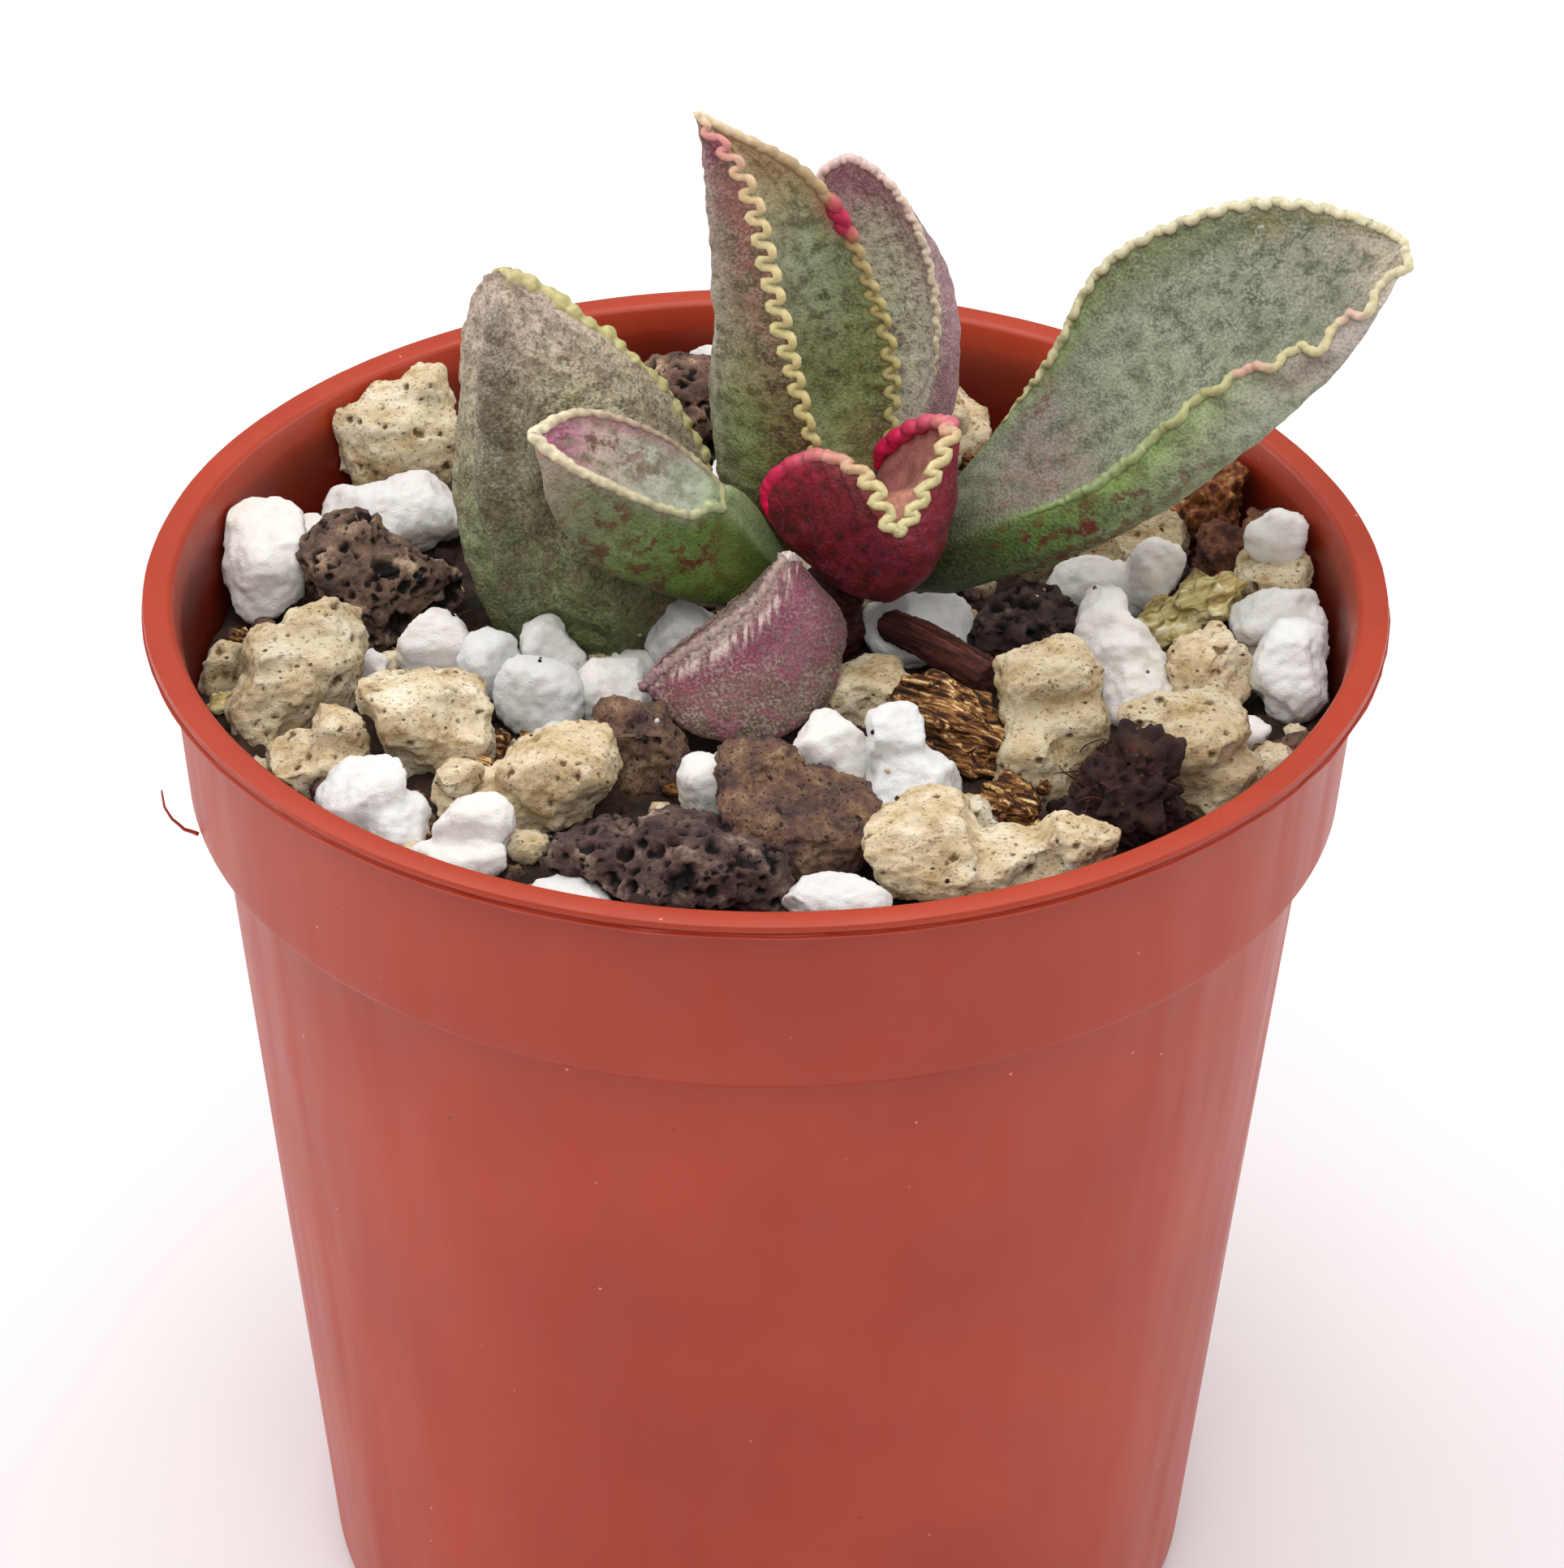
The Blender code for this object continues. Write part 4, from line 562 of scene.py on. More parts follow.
def start_material(name, **sockets):
    """A material with its shader's even values set, and its place in millimetres."""
    made = bpy.data.materials.new(name)
    made.use_nodes = True
    tree = made.node_tree
    shader = tree.nodes["Principled BSDF"]
    for socket, value in sockets.items():
        shader.inputs[socket.replace("_", " ")].default_value = value
    coordinates = add(tree, "TexCoord")
    place = add(tree, "Mapping", {"Vector": coordinates.outputs["Object"], "Scale": (1 / MM,) * 3})
    return made, tree, shader, place


def finish_material(tree, shader, colour, height, strength, depth):
    """Give a material's shader its colour, and relief so many millimetres deep."""
    link(tree, colour, shader.inputs["Base Color"])
    relief = add(tree, "Bump", {"Height": height, "Strength": strength, "Distance": depth * MM})
    link(tree, relief, shader.inputs["Normal"])


def set_out(name, data):
    """A new object in the scene for a mesh, curve, camera or light."""
    made = bpy.data.objects.new(name, data)
    bpy.context.scene.collection.objects.link(made)
    return made


def mesh_from(name, bm):
    """A mesh from a bmesh, which is freed."""
    mesh = bpy.data.meshes.new(name)
    bm.to_mesh(mesh)
    bm.free()
    return mesh


def evaluated(made):
    """The mesh that an object's modifiers, or its curve's thickness, give."""
    return bpy.data.meshes.new_from_object(made.evaluated_get(bpy.context.evaluated_depsgraph_get()))


def bmesh_from(guide):
    """The evaluated mesh of a helping object as a bmesh; the object is removed."""
    mesh, data = evaluated(guide), guide.data
    bpy.data.objects.remove(guide, do_unlink=True)
    store = bpy.data.curves if isinstance(data, bpy.types.Curve) else bpy.data.meshes
    store.remove(data)
    bm = bmesh.new()
    bm.from_mesh(mesh)
    bpy.data.meshes.remove(mesh)
    return bm


def close(bm):
    """Merge doubled points and turn the faces outwards."""
    bmesh.ops.remove_doubles(bm, verts=bm.verts, dist=1e-4)
    bmesh.ops.recalc_face_normals(bm, faces=bm.faces)


def smooth(bm):
    """Ease every point halfway towards its neighbours."""
    bmesh.ops.smooth_vert(bm, verts=bm.verts, factor=0.5, use_axis_x=True, use_axis_y=True,
                          use_axis_z=True)


def turned(section, steps, cuts=0):
    """A form turned round the Z axis from its half section, whose long edges are cut up."""
    bm = bmesh.new()
    corners = [bm.verts.new(point) for point in section]
    edges = [bm.edges.new(pair) for pair in zip(corners, corners[1:])]
    if cuts:
        long = [edge for edge in edges if edge.calc_length() > LONG_EDGE]
        bmesh.ops.subdivide_edges(bm, edges=long, cuts=cuts)
    bmesh.ops.spin(bm, geom=bm.verts[:] + bm.edges[:], cent=(0, 0, 0), axis=(0, 0, 1),
                   angle=math.tau, steps=steps, use_merge=True)
    close(bm)
    return bm


def finish_piece(name, bm, material, slot, *nodes):
    """Turn a bmesh in millimetres into a piece that rides on the plant's one body."""
    bmesh.ops.scale(bm, vec=(MM, MM, MM), verts=bm.verts)
    mesh = mesh_from(name, bm)
    mesh.shade_smooth()
    mesh.materials.append(material)
    piece = set_out(name, mesh)
    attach(piece, "root")
    if nodes:
        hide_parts(*nodes)
    return piece


# Materials

def moulded_polypropylene():
    """Moulded polypropylene: a soft sheen, faint streaks, dust and small scuffs, and painted shade on the
    inner wall.
    """
    made, tree, shader, place = start_material("moulded_polypropylene", IOR=1.53, Specular_IOR_Level=0.42)
    # Patches 9 mm across, hardly lighter or darker, and specks of dust 1.3 mm apart
    broad = add(tree, "TexNoise", {"Vector": place, "Scale": 0.11, "Detail": 3.0})
    tone = add(tree, "ValToRGB", {0: broad},
               stops=[(0.3, "#9c2c0d"), (0.5, "#a12f0f"), (0.72, "#a83513")])
    dust = add(tree, "TexVoronoi", {"Vector": place, "Scale": 0.75})
    grain = add(tree, "MapRange", {0: dust, 1: 0.07, 2: 0.03}, **SMOOTH)
    shade = add(tree, "SeparateColor", {0: dust.outputs["Color"]})
    light = add(tree, "MapRange", {0: shade.outputs[0], 1: 0.7, 2: 0.9})
    dark = add(tree, "MapRange", {0: shade.outputs[1], 1: 0.85, 2: 0.95})
    lights = add(tree, "Math", {0: grain, 1: light}, **TIMES)
    darks = add(tree, "Math", {0: grain, 1: dark}, **TIMES)
    dusty = add(tree, "Mix", {0: lights, 6: tone, 7: linear("#d98c74")}, **COLOUR)
    specked = add(tree, "Mix", {0: darks, 6: dusty, 7: linear("#5a2418")}, **COLOUR)
    # Painted shade darkens the inner wall, growing from the lip downwards
    inner = add(tree, "Attribute", attribute_name="inner_shade")
    shaded_inside = add(tree, "Mix", {0: inner.outputs["Fac"], 6: specked, 7: linear("#4c0f06")}, **COLOUR)
    # Upright streaks 2 mm wide from the mould, seen in the gloss alone
    upright = add(tree, "Mapping", {"Vector": place, "Scale": (0.5, 0.5, 0.05)})
    drawn = add(tree, "TexNoise", {"Vector": upright, "Scale": 1.0, "Detail": 2.0})
    gloss = add(tree, "MapRange", {0: drawn, 1: 0.3, 2: 0.7, 3: 0.36, 4: 0.5})
    link(tree, gloss, shader.inputs["Roughness"])
    skin = add(tree, "TexNoise", {"Vector": place, "Scale": 1 / 0.25, "Detail": 4.0})
    finish_material(tree, shader, shaded_inside, skin, 0.25, 0.03)
    return made


def scurfy_leaf(name, skin, velvet):
    """Succulent leaf skin: mottled under a fine bloom of pale scales, barely glossy.

    Its tint, bloom (the tint's alpha), mottle and spots come from the skin's own
    painted attributes.
    """
    made, tree, shader, place = start_material(
        name, Roughness=0.55, IOR=1.42, Subsurface_Weight=0.12, Subsurface_Scale=0.6 * MM,
        Subsurface_Radius=(1.0, 0.5, 0.25), Sheen_Weight=velvet, Sheen_Roughness=0.4)
    tint = add(tree, "Attribute", attribute_name="tint")
    marks = add(tree, "Attribute", attribute_name="marks")
    amounts = add(tree, "SeparateXYZ", {0: marks.outputs["Vector"]})
    # Clouds of darker tissue, with the skin between them a little paler
    clouds = add(tree, "TexNoise",
                 {"Vector": place, "Scale": 1 / skin["grain"], "Detail": 4.0, "Roughness": 0.58})
    between = add(tree, "MapRange", {0: clouds, 1: 0.3, 2: 0.52, 3: 1.28, 4: 1.0})
    paler = add(tree, "Mix", {0: 1.0, 6: tint.outputs["Color"], 7: between}, **MULTIPLIED)
    cloud = add(tree, "MapRange", {0: clouds, 1: 0.49, 2: 0.62}, **SMOOTH)
    mottle = add(tree, "Math", {0: cloud, 1: amounts.outputs[0]}, **TIMES)
    mottled = add(tree, "Mix", {0: mottle, 6: paler, 7: linear(skin["mottle"])}, **COLOUR)
    # Pale scales of wax in drifts, drawn 0.15 mm across so that they show
    scales = add(tree, "TexNoise", {"Vector": place, "Scale": 1 / 0.15, "Detail": 2.0, "Roughness": 0.6})
    scale = add(tree, "MapRange", {0: scales, 1: 0.46, 2: 0.66, 4: skin["scurf"]}, **SMOOTH)
    drifts = add(tree, "TexNoise", {"Vector": place, "Scale": 1 / 1.1, "Detail": 3.0})
    drift = add(tree, "MapRange", {0: drifts, 1: 0.36, 2: 0.6, 3: 0.25})
    bloom = add(tree, "Math", {0: drift, 1: tint.outputs["Alpha"]}, **TIMES)
    scaly = add(tree, "Math", {0: scale, 1: bloom}, **TIMES)
    waxy = add(tree, "Mix", {0: 0.4, 6: tint.outputs["Color"], 7: linear("#d6d6cc")}, **COLOUR)
    bloomed = add(tree, "Mix", {0: scaly, 6: mottled, 7: waxy}, **COLOUR)
    # Red-brown spots 0.5 to 1 mm across with soft edges
    blots = add(tree, "TexNoise", {"Vector": place, "Scale": 1 / 0.8, "Detail": 3.0, "Roughness": 0.7})
    blot = add(tree, "MapRange", {0: blots, 1: 0.5, 2: 0.6}, **SMOOTH)
    spot = add(tree, "Math", {0: blot, 1: amounts.outputs[1]}, **TIMES)
    spotted = add(tree, "Mix", {0: spot, 6: bloomed, 7: linear(skin["spot"])}, **COLOUR)
    # Felt combed across the ridge of the half round leaf, in locks 0.2 mm wide
    combed = add(tree, "Mapping",
                 {"Vector": place, "Rotation": (0.0, -0.5, 0.6), "Scale": (1.0, 0.2, 0.2)})
    felt = add(tree, "TexNoise", {"Vector": combed, "Scale": 1 / 0.2, "Detail": 2.0})
    lock = add(tree, "MapRange", {0: felt, 1: 0.42, 2: 0.6, 4: 0.9}, **SMOOTH)
    streak = add(tree, "Math", {0: lock, 1: amounts.outputs[2]}, **TIMES)
    streaked = add(tree, "Mix", {0: streak, 6: spotted, 7: linear("#d4bfb8")}, **COLOUR)
    darker = add(tree, "MapRange", {0: scales, 1: 0.32, 2: 0.5, 3: 0.74, 4: 1.06})
    final = add(tree, "Mix", {0: 1.0, 6: streaked, 7: darker}, **MULTIPLIED)
    finish_material(tree, shader, final, scales, 0.8, 0.06 + 0.12 * skin["scurf"])
    return made


def corky_margin():
    """Horny leaf margin: a smooth waxy rim, coloured along its run."""
    made, tree, shader, place = start_material(
        "corky_margin", Roughness=0.5, IOR=1.45, Subsurface_Weight=0.25, Subsurface_Scale=0.5 * MM,
        Subsurface_Radius=(1.0, 0.8, 0.5))
    tint = add(tree, "Attribute", attribute_name="tint")
    fine = add(tree, "TexNoise", {"Vector": place, "Scale": 1 / 0.3, "Detail": 4.0})
    # Painted shade and light: the tint is darker in the hollows of the relief and lighter on its tops
    shade = add(tree, "MapRange", {0: fine, 1: 0.3, 2: 0.7, 3: 0.82, 4: 1.1})
    tone = add(tree, "Mix", {0: 1.0, 6: tint.outputs["Color"], 7: shade}, **MULTIPLIED)
    finish_material(tree, shader, tone, fine, 0.5, 0.06)
    return made


def weathered_stone(name, tones, pore, specks, speck_spacing, speck_radius, grit, clear=0.0, streak=1.0,
                    flecks=0.0):
    """A matt grain: patchy tones, specks, darker pores and a gritty face.

    tones run from the shaded patches to the bright ones. streak stretches the pattern
    along the bed in which the stone was laid down. flecks is how much the finest dark
    dust shows. pore is the colour of the pores' painted shade and of that dust. Spacings,
    radii and grit are in millimetres.
    """
    made, tree, shader, place = start_material(
        name, Roughness=0.92, IOR=1.45, Subsurface_Weight=clear, Subsurface_Scale=0.5 * MM)
    bed = add(tree, "Mapping", {"Vector": place, "Rotation": (0.3, 0.25, 0.2),
                                "Scale": (1 / streak, 1.0, 1.0)})
    patches = add(tree, "TexNoise", {"Vector": bed, "Scale": 1 / 1.5, "Detail": 8.0, "Roughness": 0.66})
    tone = add(tree, "ValToRGB", {0: patches},
               stops=[(0.3 + 0.4 * i / (len(tones) - 1), code) for i, code in enumerate(tones)])
    # Painted shade in the pores, nearer the pore colour the deeper a spot lies in one
    hollow = add(tree, "Attribute", attribute_name="pore")
    depth = add(tree, "MapRange", {0: hollow.outputs["Fac"], 1: 0.1, 2: 0.65, 4: 0.92}, **SMOOTH)
    pored = add(tree, "Mix", {0: depth, 6: tone, 7: linear(pore)}, **COLOUR)
    dots = add(tree, "TexVoronoi", {"Vector": bed, "Scale": 1 / speck_spacing})
    lot = add(tree, "SeparateColor", {0: dots.outputs["Color"]})
    reach = add(tree, "MapRange", {0: lot.outputs[0], 1: 0.4, 2: 1.0, 4: speck_radius / speck_spacing})
    inside = add(tree, "Math", {0: reach, 1: dots}, **LESS)
    speck = add(tree, "MapRange", {0: inside, 1: 0.0, 2: 0.06, 4: 0.85}, **SMOOTH)
    dust = add(tree, "TexNoise", {"Vector": bed, "Scale": 1 / 0.14, "Detail": 2.0})
    fleck = add(tree, "MapRange", {0: dust, 1: 0.58, 2: 0.68, 4: flecks}, **SMOOTH)
    dusted = add(tree, "Mix", {0: fleck, 6: pored, 7: linear(pore)}, **COLOUR)
    specked = add(tree, "Mix", {0: speck, 6: dusted, 7: linear(specks)}, **COLOUR)
    lot_tint = add(tree, "Attribute", attribute_name="tone")
    final = add(tree, "Mix", {0: 1.0, 6: specked, 7: lot_tint.outputs["Color"]}, **MULTIPLIED)
    fine = add(tree, "TexNoise", {"Vector": bed, "Scale": 1 / grit, "Detail": 5.0, "Roughness": 0.75})
    height = add(tree, "Math", {0: fine, 1: speck}, **LESS)
    finish_material(tree, shader, final, height, 1.0, 1.1 * grit)
    return made


def fibrous_wood(name, tones, direction, width, gloss=0.75):
    """Dead plant fibre: fine lines along the grain, width millimetres apart."""
    made, tree, shader, place = start_material(name, Roughness=gloss, IOR=1.3)
    along = Vector(direction).to_track_quat("X", "Z").to_euler()
    laid = add(tree, "Mapping", {"Vector": place, "Rotation": along}, vector_type="TEXTURE")
    drawn = add(tree, "Mapping", {"Vector": laid, "Scale": (0.07, 1.0, 1.0)})
    lines = add(tree, "TexNoise", {"Vector": drawn, "Scale": 1 / width, "Detail": 5.0, "Roughness": 0.6})
    tone = add(tree, "ValToRGB", {0: lines},
               stops=[(0.34 + 0.34 * i / (len(tones) - 1), code) for i, code in enumerate(tones)])
    finish_material(tree, shader, tone, lines, 0.9, 0.4 * width)
    return made


# Pot

def rounded(profile, radius, steps):
    """Round the corners of a profile."""
    points = [profile[0]]
    for before, corner, after in zip(profile, profile[1:], profile[2:]):
        before, corner, after = Vector(before), Vector(corner), Vector(after)
        cut = min(radius, (corner - before).length / 2.2, (after - corner).length / 2.2)
        start = corner + (before - corner).normalized() * cut
        end = corner + (after - corner).normalized() * cut
        for i in range(steps + 1):
            f = i / steps
            points.append(start.lerp(corner, f).lerp(corner.lerp(end, f), f))
    points.append(profile[-1])
    return points


def pot_profile():
    """Half section of the pot, from the middle of its floor over the lip to its foot."""
    parting = POT_HEIGHT - LIP_FACE
    groove = RIM_RADIUS - PARTING_GROOVE
    inside = [
        (0.0, FLOOR_RAISE + FLOOR), (FOOT_RING_INNER - FLOOR, FLOOR_RAISE + FLOOR),
        (FOOT_RING_INNER + 0.1, FLOOR), (FOOT_WALL - WALL, FLOOR + 0.2),
        (BODY_TOP_RADIUS - WALL - BODY_TAPER * STEP_RUN, STEP - STEP_RUN),
        (BODY_TOP_RADIUS - WALL + 0.2, STEP - STEP_RUN / 2),
        (COLLAR_FOOT_RADIUS - WALL, STEP + STEP_RUN / 3),
        (COLLAR_TOP_RADIUS - WALL + 0.05, LIP_BOTTOM - 0.6),
        (RIM_RADIUS - LIP_WIDTH, POT_HEIGHT - 0.15)]
    outside = [
        (RIM_RADIUS - LIP_WIDTH + 0.2, POT_HEIGHT), (RIM_RADIUS - 0.04, POT_HEIGHT),
        (RIM_RADIUS, parting + 0.1), (groove, parting), (groove, parting - 0.1),
        (RIM_RADIUS + 0.04, parting - 0.15), (RIM_RADIUS - 0.02, parting - 0.22),
        (RIM_RADIUS - 0.4, parting - 0.24), (COLLAR_TOP_RADIUS + 0.1, LIP_BOTTOM - 0.1),
        (COLLAR_TOP_RADIUS, LIP_BOTTOM - 0.4), (COLLAR_FOOT_RADIUS + 0.02, STEP + 0.4),
        (COLLAR_FOOT_RADIUS - 0.3, STEP + 0.02), (BODY_TOP_RADIUS, STEP - 0.7),
        (FOOT_WALL, 1.2), (FOOT_WALL - 0.6, 0.2), (FOOT_WALL - 1.2, 0.0), (FOOT_RING_INNER, 0.0),
        (FOOT_RING_INNER - FLOOR, FLOOR_RAISE), (0.0, FLOOR_RAISE)]
    return [Vector((r, 0.0, z)) for r, z in rounded(inside + outside, EDGE_BREAK, 2)]


def inner_radius(z):
    """Radius of the collar's inner face at a height."""
    share = (z - STEP) / (LIP_BOTTOM - STEP)
    return COLLAR_FOOT_RADIUS + (COLLAR_TOP_RADIUS - COLLAR_FOOT_RADIUS) * share - WALL


def make_pot(plastic):
    """The pot, spun from its section, with a ragged flash line and faint sinks."""
    bm = turned(pot_profile(), POT_STEPS, POT_CUTS)
    flash = POT_HEIGHT - LIP_FACE - 0.1
    # Painted shade on the inner wall, fading in over the first millimetres below the lip
    inner_shade = bm.verts.layers.float.new("inner_shade")
    for vertex in bm.verts:
        x, y, z = vertex.co
        radius = math.hypot(x, y)
        inside = z > STEP and radius < inner_radius(z) + WALL / 2
        vertex[inner_shade] = INNER_SHADE * min(1.0, max(0.0, (LIP_BOTTOM - z) / INNER_SHADE_FADE)) if inside else 0.0
        if radius < 1:
            continue
        outward = Vector((x / radius, y / radius, 0.0))
        move = SINK * noise.noise(Vector((x, y, 0.3 * z)) / SINK_SIZE)
        if radius > RIM_RADIUS - 0.3 and flash - 0.16 < z < flash + 0.02:
            ragged = noise.noise(outward * 9.0) + 0.7 * noise.noise(outward * 31.0)
            move += max(0.0, FLASH_TEETH * ragged) + 0.05 * noise.noise(outward * 90.0)
            vertex.co.z += 0.03 * noise.noise(outward * 14.0)
        elif radius > RIM_RADIUS - 0.3:
            move += LIP_WAVE * noise.noise(Vector((x, y, 4 * z)) / 1.3)
        vertex.co += outward * move
    pot = finish_piece("pot_moulding", bm, plastic, "pot_plastic", "pot")
    pot.data.set_sharp_from_angle(angle=math.radians(50))
    drill(pot)


def drill(pot):
    """Cut the drain holes: one in the middle of the floor and a circle of them."""
    places = [(0.0, 0.0)]
    for i in range(DRAIN_COUNT):
        angle = math.tau * i / DRAIN_COUNT
        places.append((DRAIN_CIRCLE * math.cos(angle), DRAIN_CIRCLE * math.sin(angle)))
    punch = bmesh.new()
    for x, y in places:
        bmesh.ops.create_cone(punch, cap_ends=True, segments=32, radius1=DRAIN_RADIUS, radius2=DRAIN_RADIUS,
                              depth=DRILL, matrix=Matrix.Translation((x, y, FLOOR_RAISE + FLOOR / 2)))
    bmesh.ops.scale(punch, vec=(MM, MM, MM), verts=punch.verts)
    cutter = set_out("drains", mesh_from("drains", punch))
    hole = pot.modifiers.new("drains", "BOOLEAN")
    hole.operation = "DIFFERENCE"
    hole.solver = "EXACT"
    hole.object = cutter
    drilled = evaluated(pot)
    pot.modifiers.clear()
    pot.data = drilled
    bpy.data.objects.remove(cutter, do_unlink=True)


def make_burr(plastic):
    """A thin curl of flash at the collar's foot."""
    route = [Vector(place) for place in BURR]
    fine, radii = [], []
    for i in range(BURR_STEPS + 1):
        f = i / BURR_STEPS
        fine.append(level(route, f) + Vector((0.0, 0.1 * math.sin(math.tau * i / BURR_STEPS), 0.0)))
        radii.append(BURR_RADIUS * (1.2 - 0.7 * i / BURR_STEPS))
    finish_piece("moulding_burr", tube(fine, radii, 2), plastic, "pot_plastic")


# Leaves

class Leaf:
    """A leaf's margins and back, and the waves that its margins make."""

    def __init__(self, name):
        self.shape = shape = LEAVES[name]
        self.margin = MARGINS[name]
        base = Vector(shape["base"])
        near, far, back = (Vector(shape[side][0]) for side in ("near", "far", "back"))
        across = (far - near).normalized() * shape["stalk"]
        down = (back - (near + far) / 2).normalized() * shape["stalk"]
        starts = {"near": base - across, "far": base + across, "back": base + down}
        self.lines = {side: [starts[side], *(Vector(p) for p in shape[side]), Vector(shape["tip"])]
                      for side in starts}
        self.shift = 10.0 * list(LEAVES).index(name)
        self.runs = {}
        for side in ("near", "far"):
            run, last = [0.0], self.rails(0.0)[side]
            for i in range(1, RUN_STEPS + 1):
                place = self.rails(i / RUN_STEPS)[side]
                run.append(run[-1] + (place - last).length)
                last = place
            self.runs[side] = run

    def curve(self, side, t, beyond=None):
        """Point at t on the smooth curve through a line's points."""
        points = self.lines[side]
        before = 2 * points[0] - points[1]
        after = 2 * points[-1] - points[-2] if beyond is None else beyond
        chain = [before, *points, after]
        spans = len(points) - 1
        place = min(max(t, 0.0), 1.0) * spans
        i = min(int(place), spans - 1)
        f = place - i
        a, b, c, d = chain[i:i + 4]
        return 0.5 * (2 * b + (c - a) * f + (2 * a - 5 * b + 4 * c - d) * f * f
                      + (3 * b - a - 3 * c + d) * f ** 3)

    def rails(self, t):
        """The near and far margin and the back at t."""
        ends = (None, None)
        if not self.shape.get("pointed"):
            ends = (self.lines["far"][-2], self.lines["near"][-2])
        return {"near": self.curve("near", t, ends[0]), "far": self.curve("far", t, ends[1]),
                "back": self.curve("back", t)}

    def section(self, t):
        """Middle, half width and depth of the section at t."""
        rails = self.rails(t)
        middle = (rails["near"] + rails["far"]) / 2
        return middle, (rails["far"] - rails["near"]) / 2, rails["back"] - middle

    def wave(self, side, t):
        """Phase of a margin's wave at t, and how far it swings: no two waves are alike."""
        rim = self.margin[side]
        run = level(self.runs[side], t)
        drift = 1.4 * noise.noise(Vector((run / 2.2, self.shift, 0.0 if side == "near" else 5.0)))
        fade = min(1.0, 5 * t) * min(1.0, 22 * (1 - t))
        size = 1 + 0.35 * noise.noise(Vector((run / 1.7, self.shift, 9.0)))
        return math.tau * run / rim["pitch"] + drift, level(rim["swing"], t) * fade * size

    def ripple(self, side, t, half, deep):
        """How far the waves carry a margin at t."""
        phase, swing = self.wave(side, t)
        lean = self.margin.get("lean", 0.0)
        across = (deep.normalized() * (1 - lean) + half.normalized() * lean).normalized()
        return across * swing * math.sin(phase) + half.normalized() * 0.25 * swing * math.cos(2 * phase)

    def point(self, t, phi, section, ripples):
        """Point of the skin at t along the leaf and the angle phi round it."""
        middle, half, deep = section
        cosine, sine = math.cos(phi), math.sin(phi)
        if sine >= 0:
            point = middle - half * cosine + deep * sine
        else:
            inset = min(LEAF_EDGE / max(half.length, 1e-6), 0.5) * min(1.0, -3 * sine)
            point = middle - half * cosine * (1 - inset) - deep * level(self.shape["hollow"], t) * sine
        return point + ripples[0 if cosine > 0 else 1] * cosine ** RIPPLE_REACH


def off_line(turn, line):
    """How far round the section a spot is from a line, the short way."""
    return (turn - line + 1) % 2 - 1


def cover(t, turn, place, round_it, along, across):
    """How much of a soft round patch covers a spot of a leaf, from 0 to 1."""
    far = ((t - place) / along) ** 2 + (off_line(turn, round_it) / across) ** 2
    return math.exp(-far) if far < 9 else 0.0


def amount(patches, t, turn):
    """How strongly a list of patches covers a spot of a leaf."""
    return max([0.0, *(patch[4] * cover(t, turn, *patch[:4]) for patch in patches)])


def tint_at(skin, colours, t, turn):
    """The painted colour of a spot of a leaf."""
    back = level(colours["back"], t)
    upper = level(colours["upper"], t)
    share = 0.5 + 0.5 * math.sin(math.pi * max(-0.5, min(0.5, math.sin(math.pi * turn) / 0.35)))
    colour = upper.lerp(back, share)
    for touch, shade in zip(skin["touches"], colours["touches"]):
        colour = colour.lerp(shade, touch[5] * cover(t, turn, *touch[:4]))
    return colour


def crease_at(creases, t, turn):
    """Depth of the furrows at a spot of a leaf."""
    sunk = 0.0
    for places, width, depth in creases:
        first, last = places[0][0], places[-1][0]
        if not first < t < last:
            continue
        for (t0, turn0), (t1, turn1) in zip(places, places[1:]):
            if t0 <= t <= t1:
                line = turn0 + (turn1 - turn0) * (t - t0) / (t1 - t0)
                fade = min(1.0, 8 * (t - first), 8 * (last - t))
                sunk += depth * fade * math.exp(-(off_line(turn, line) / width) ** 2)
                break
    return sunk


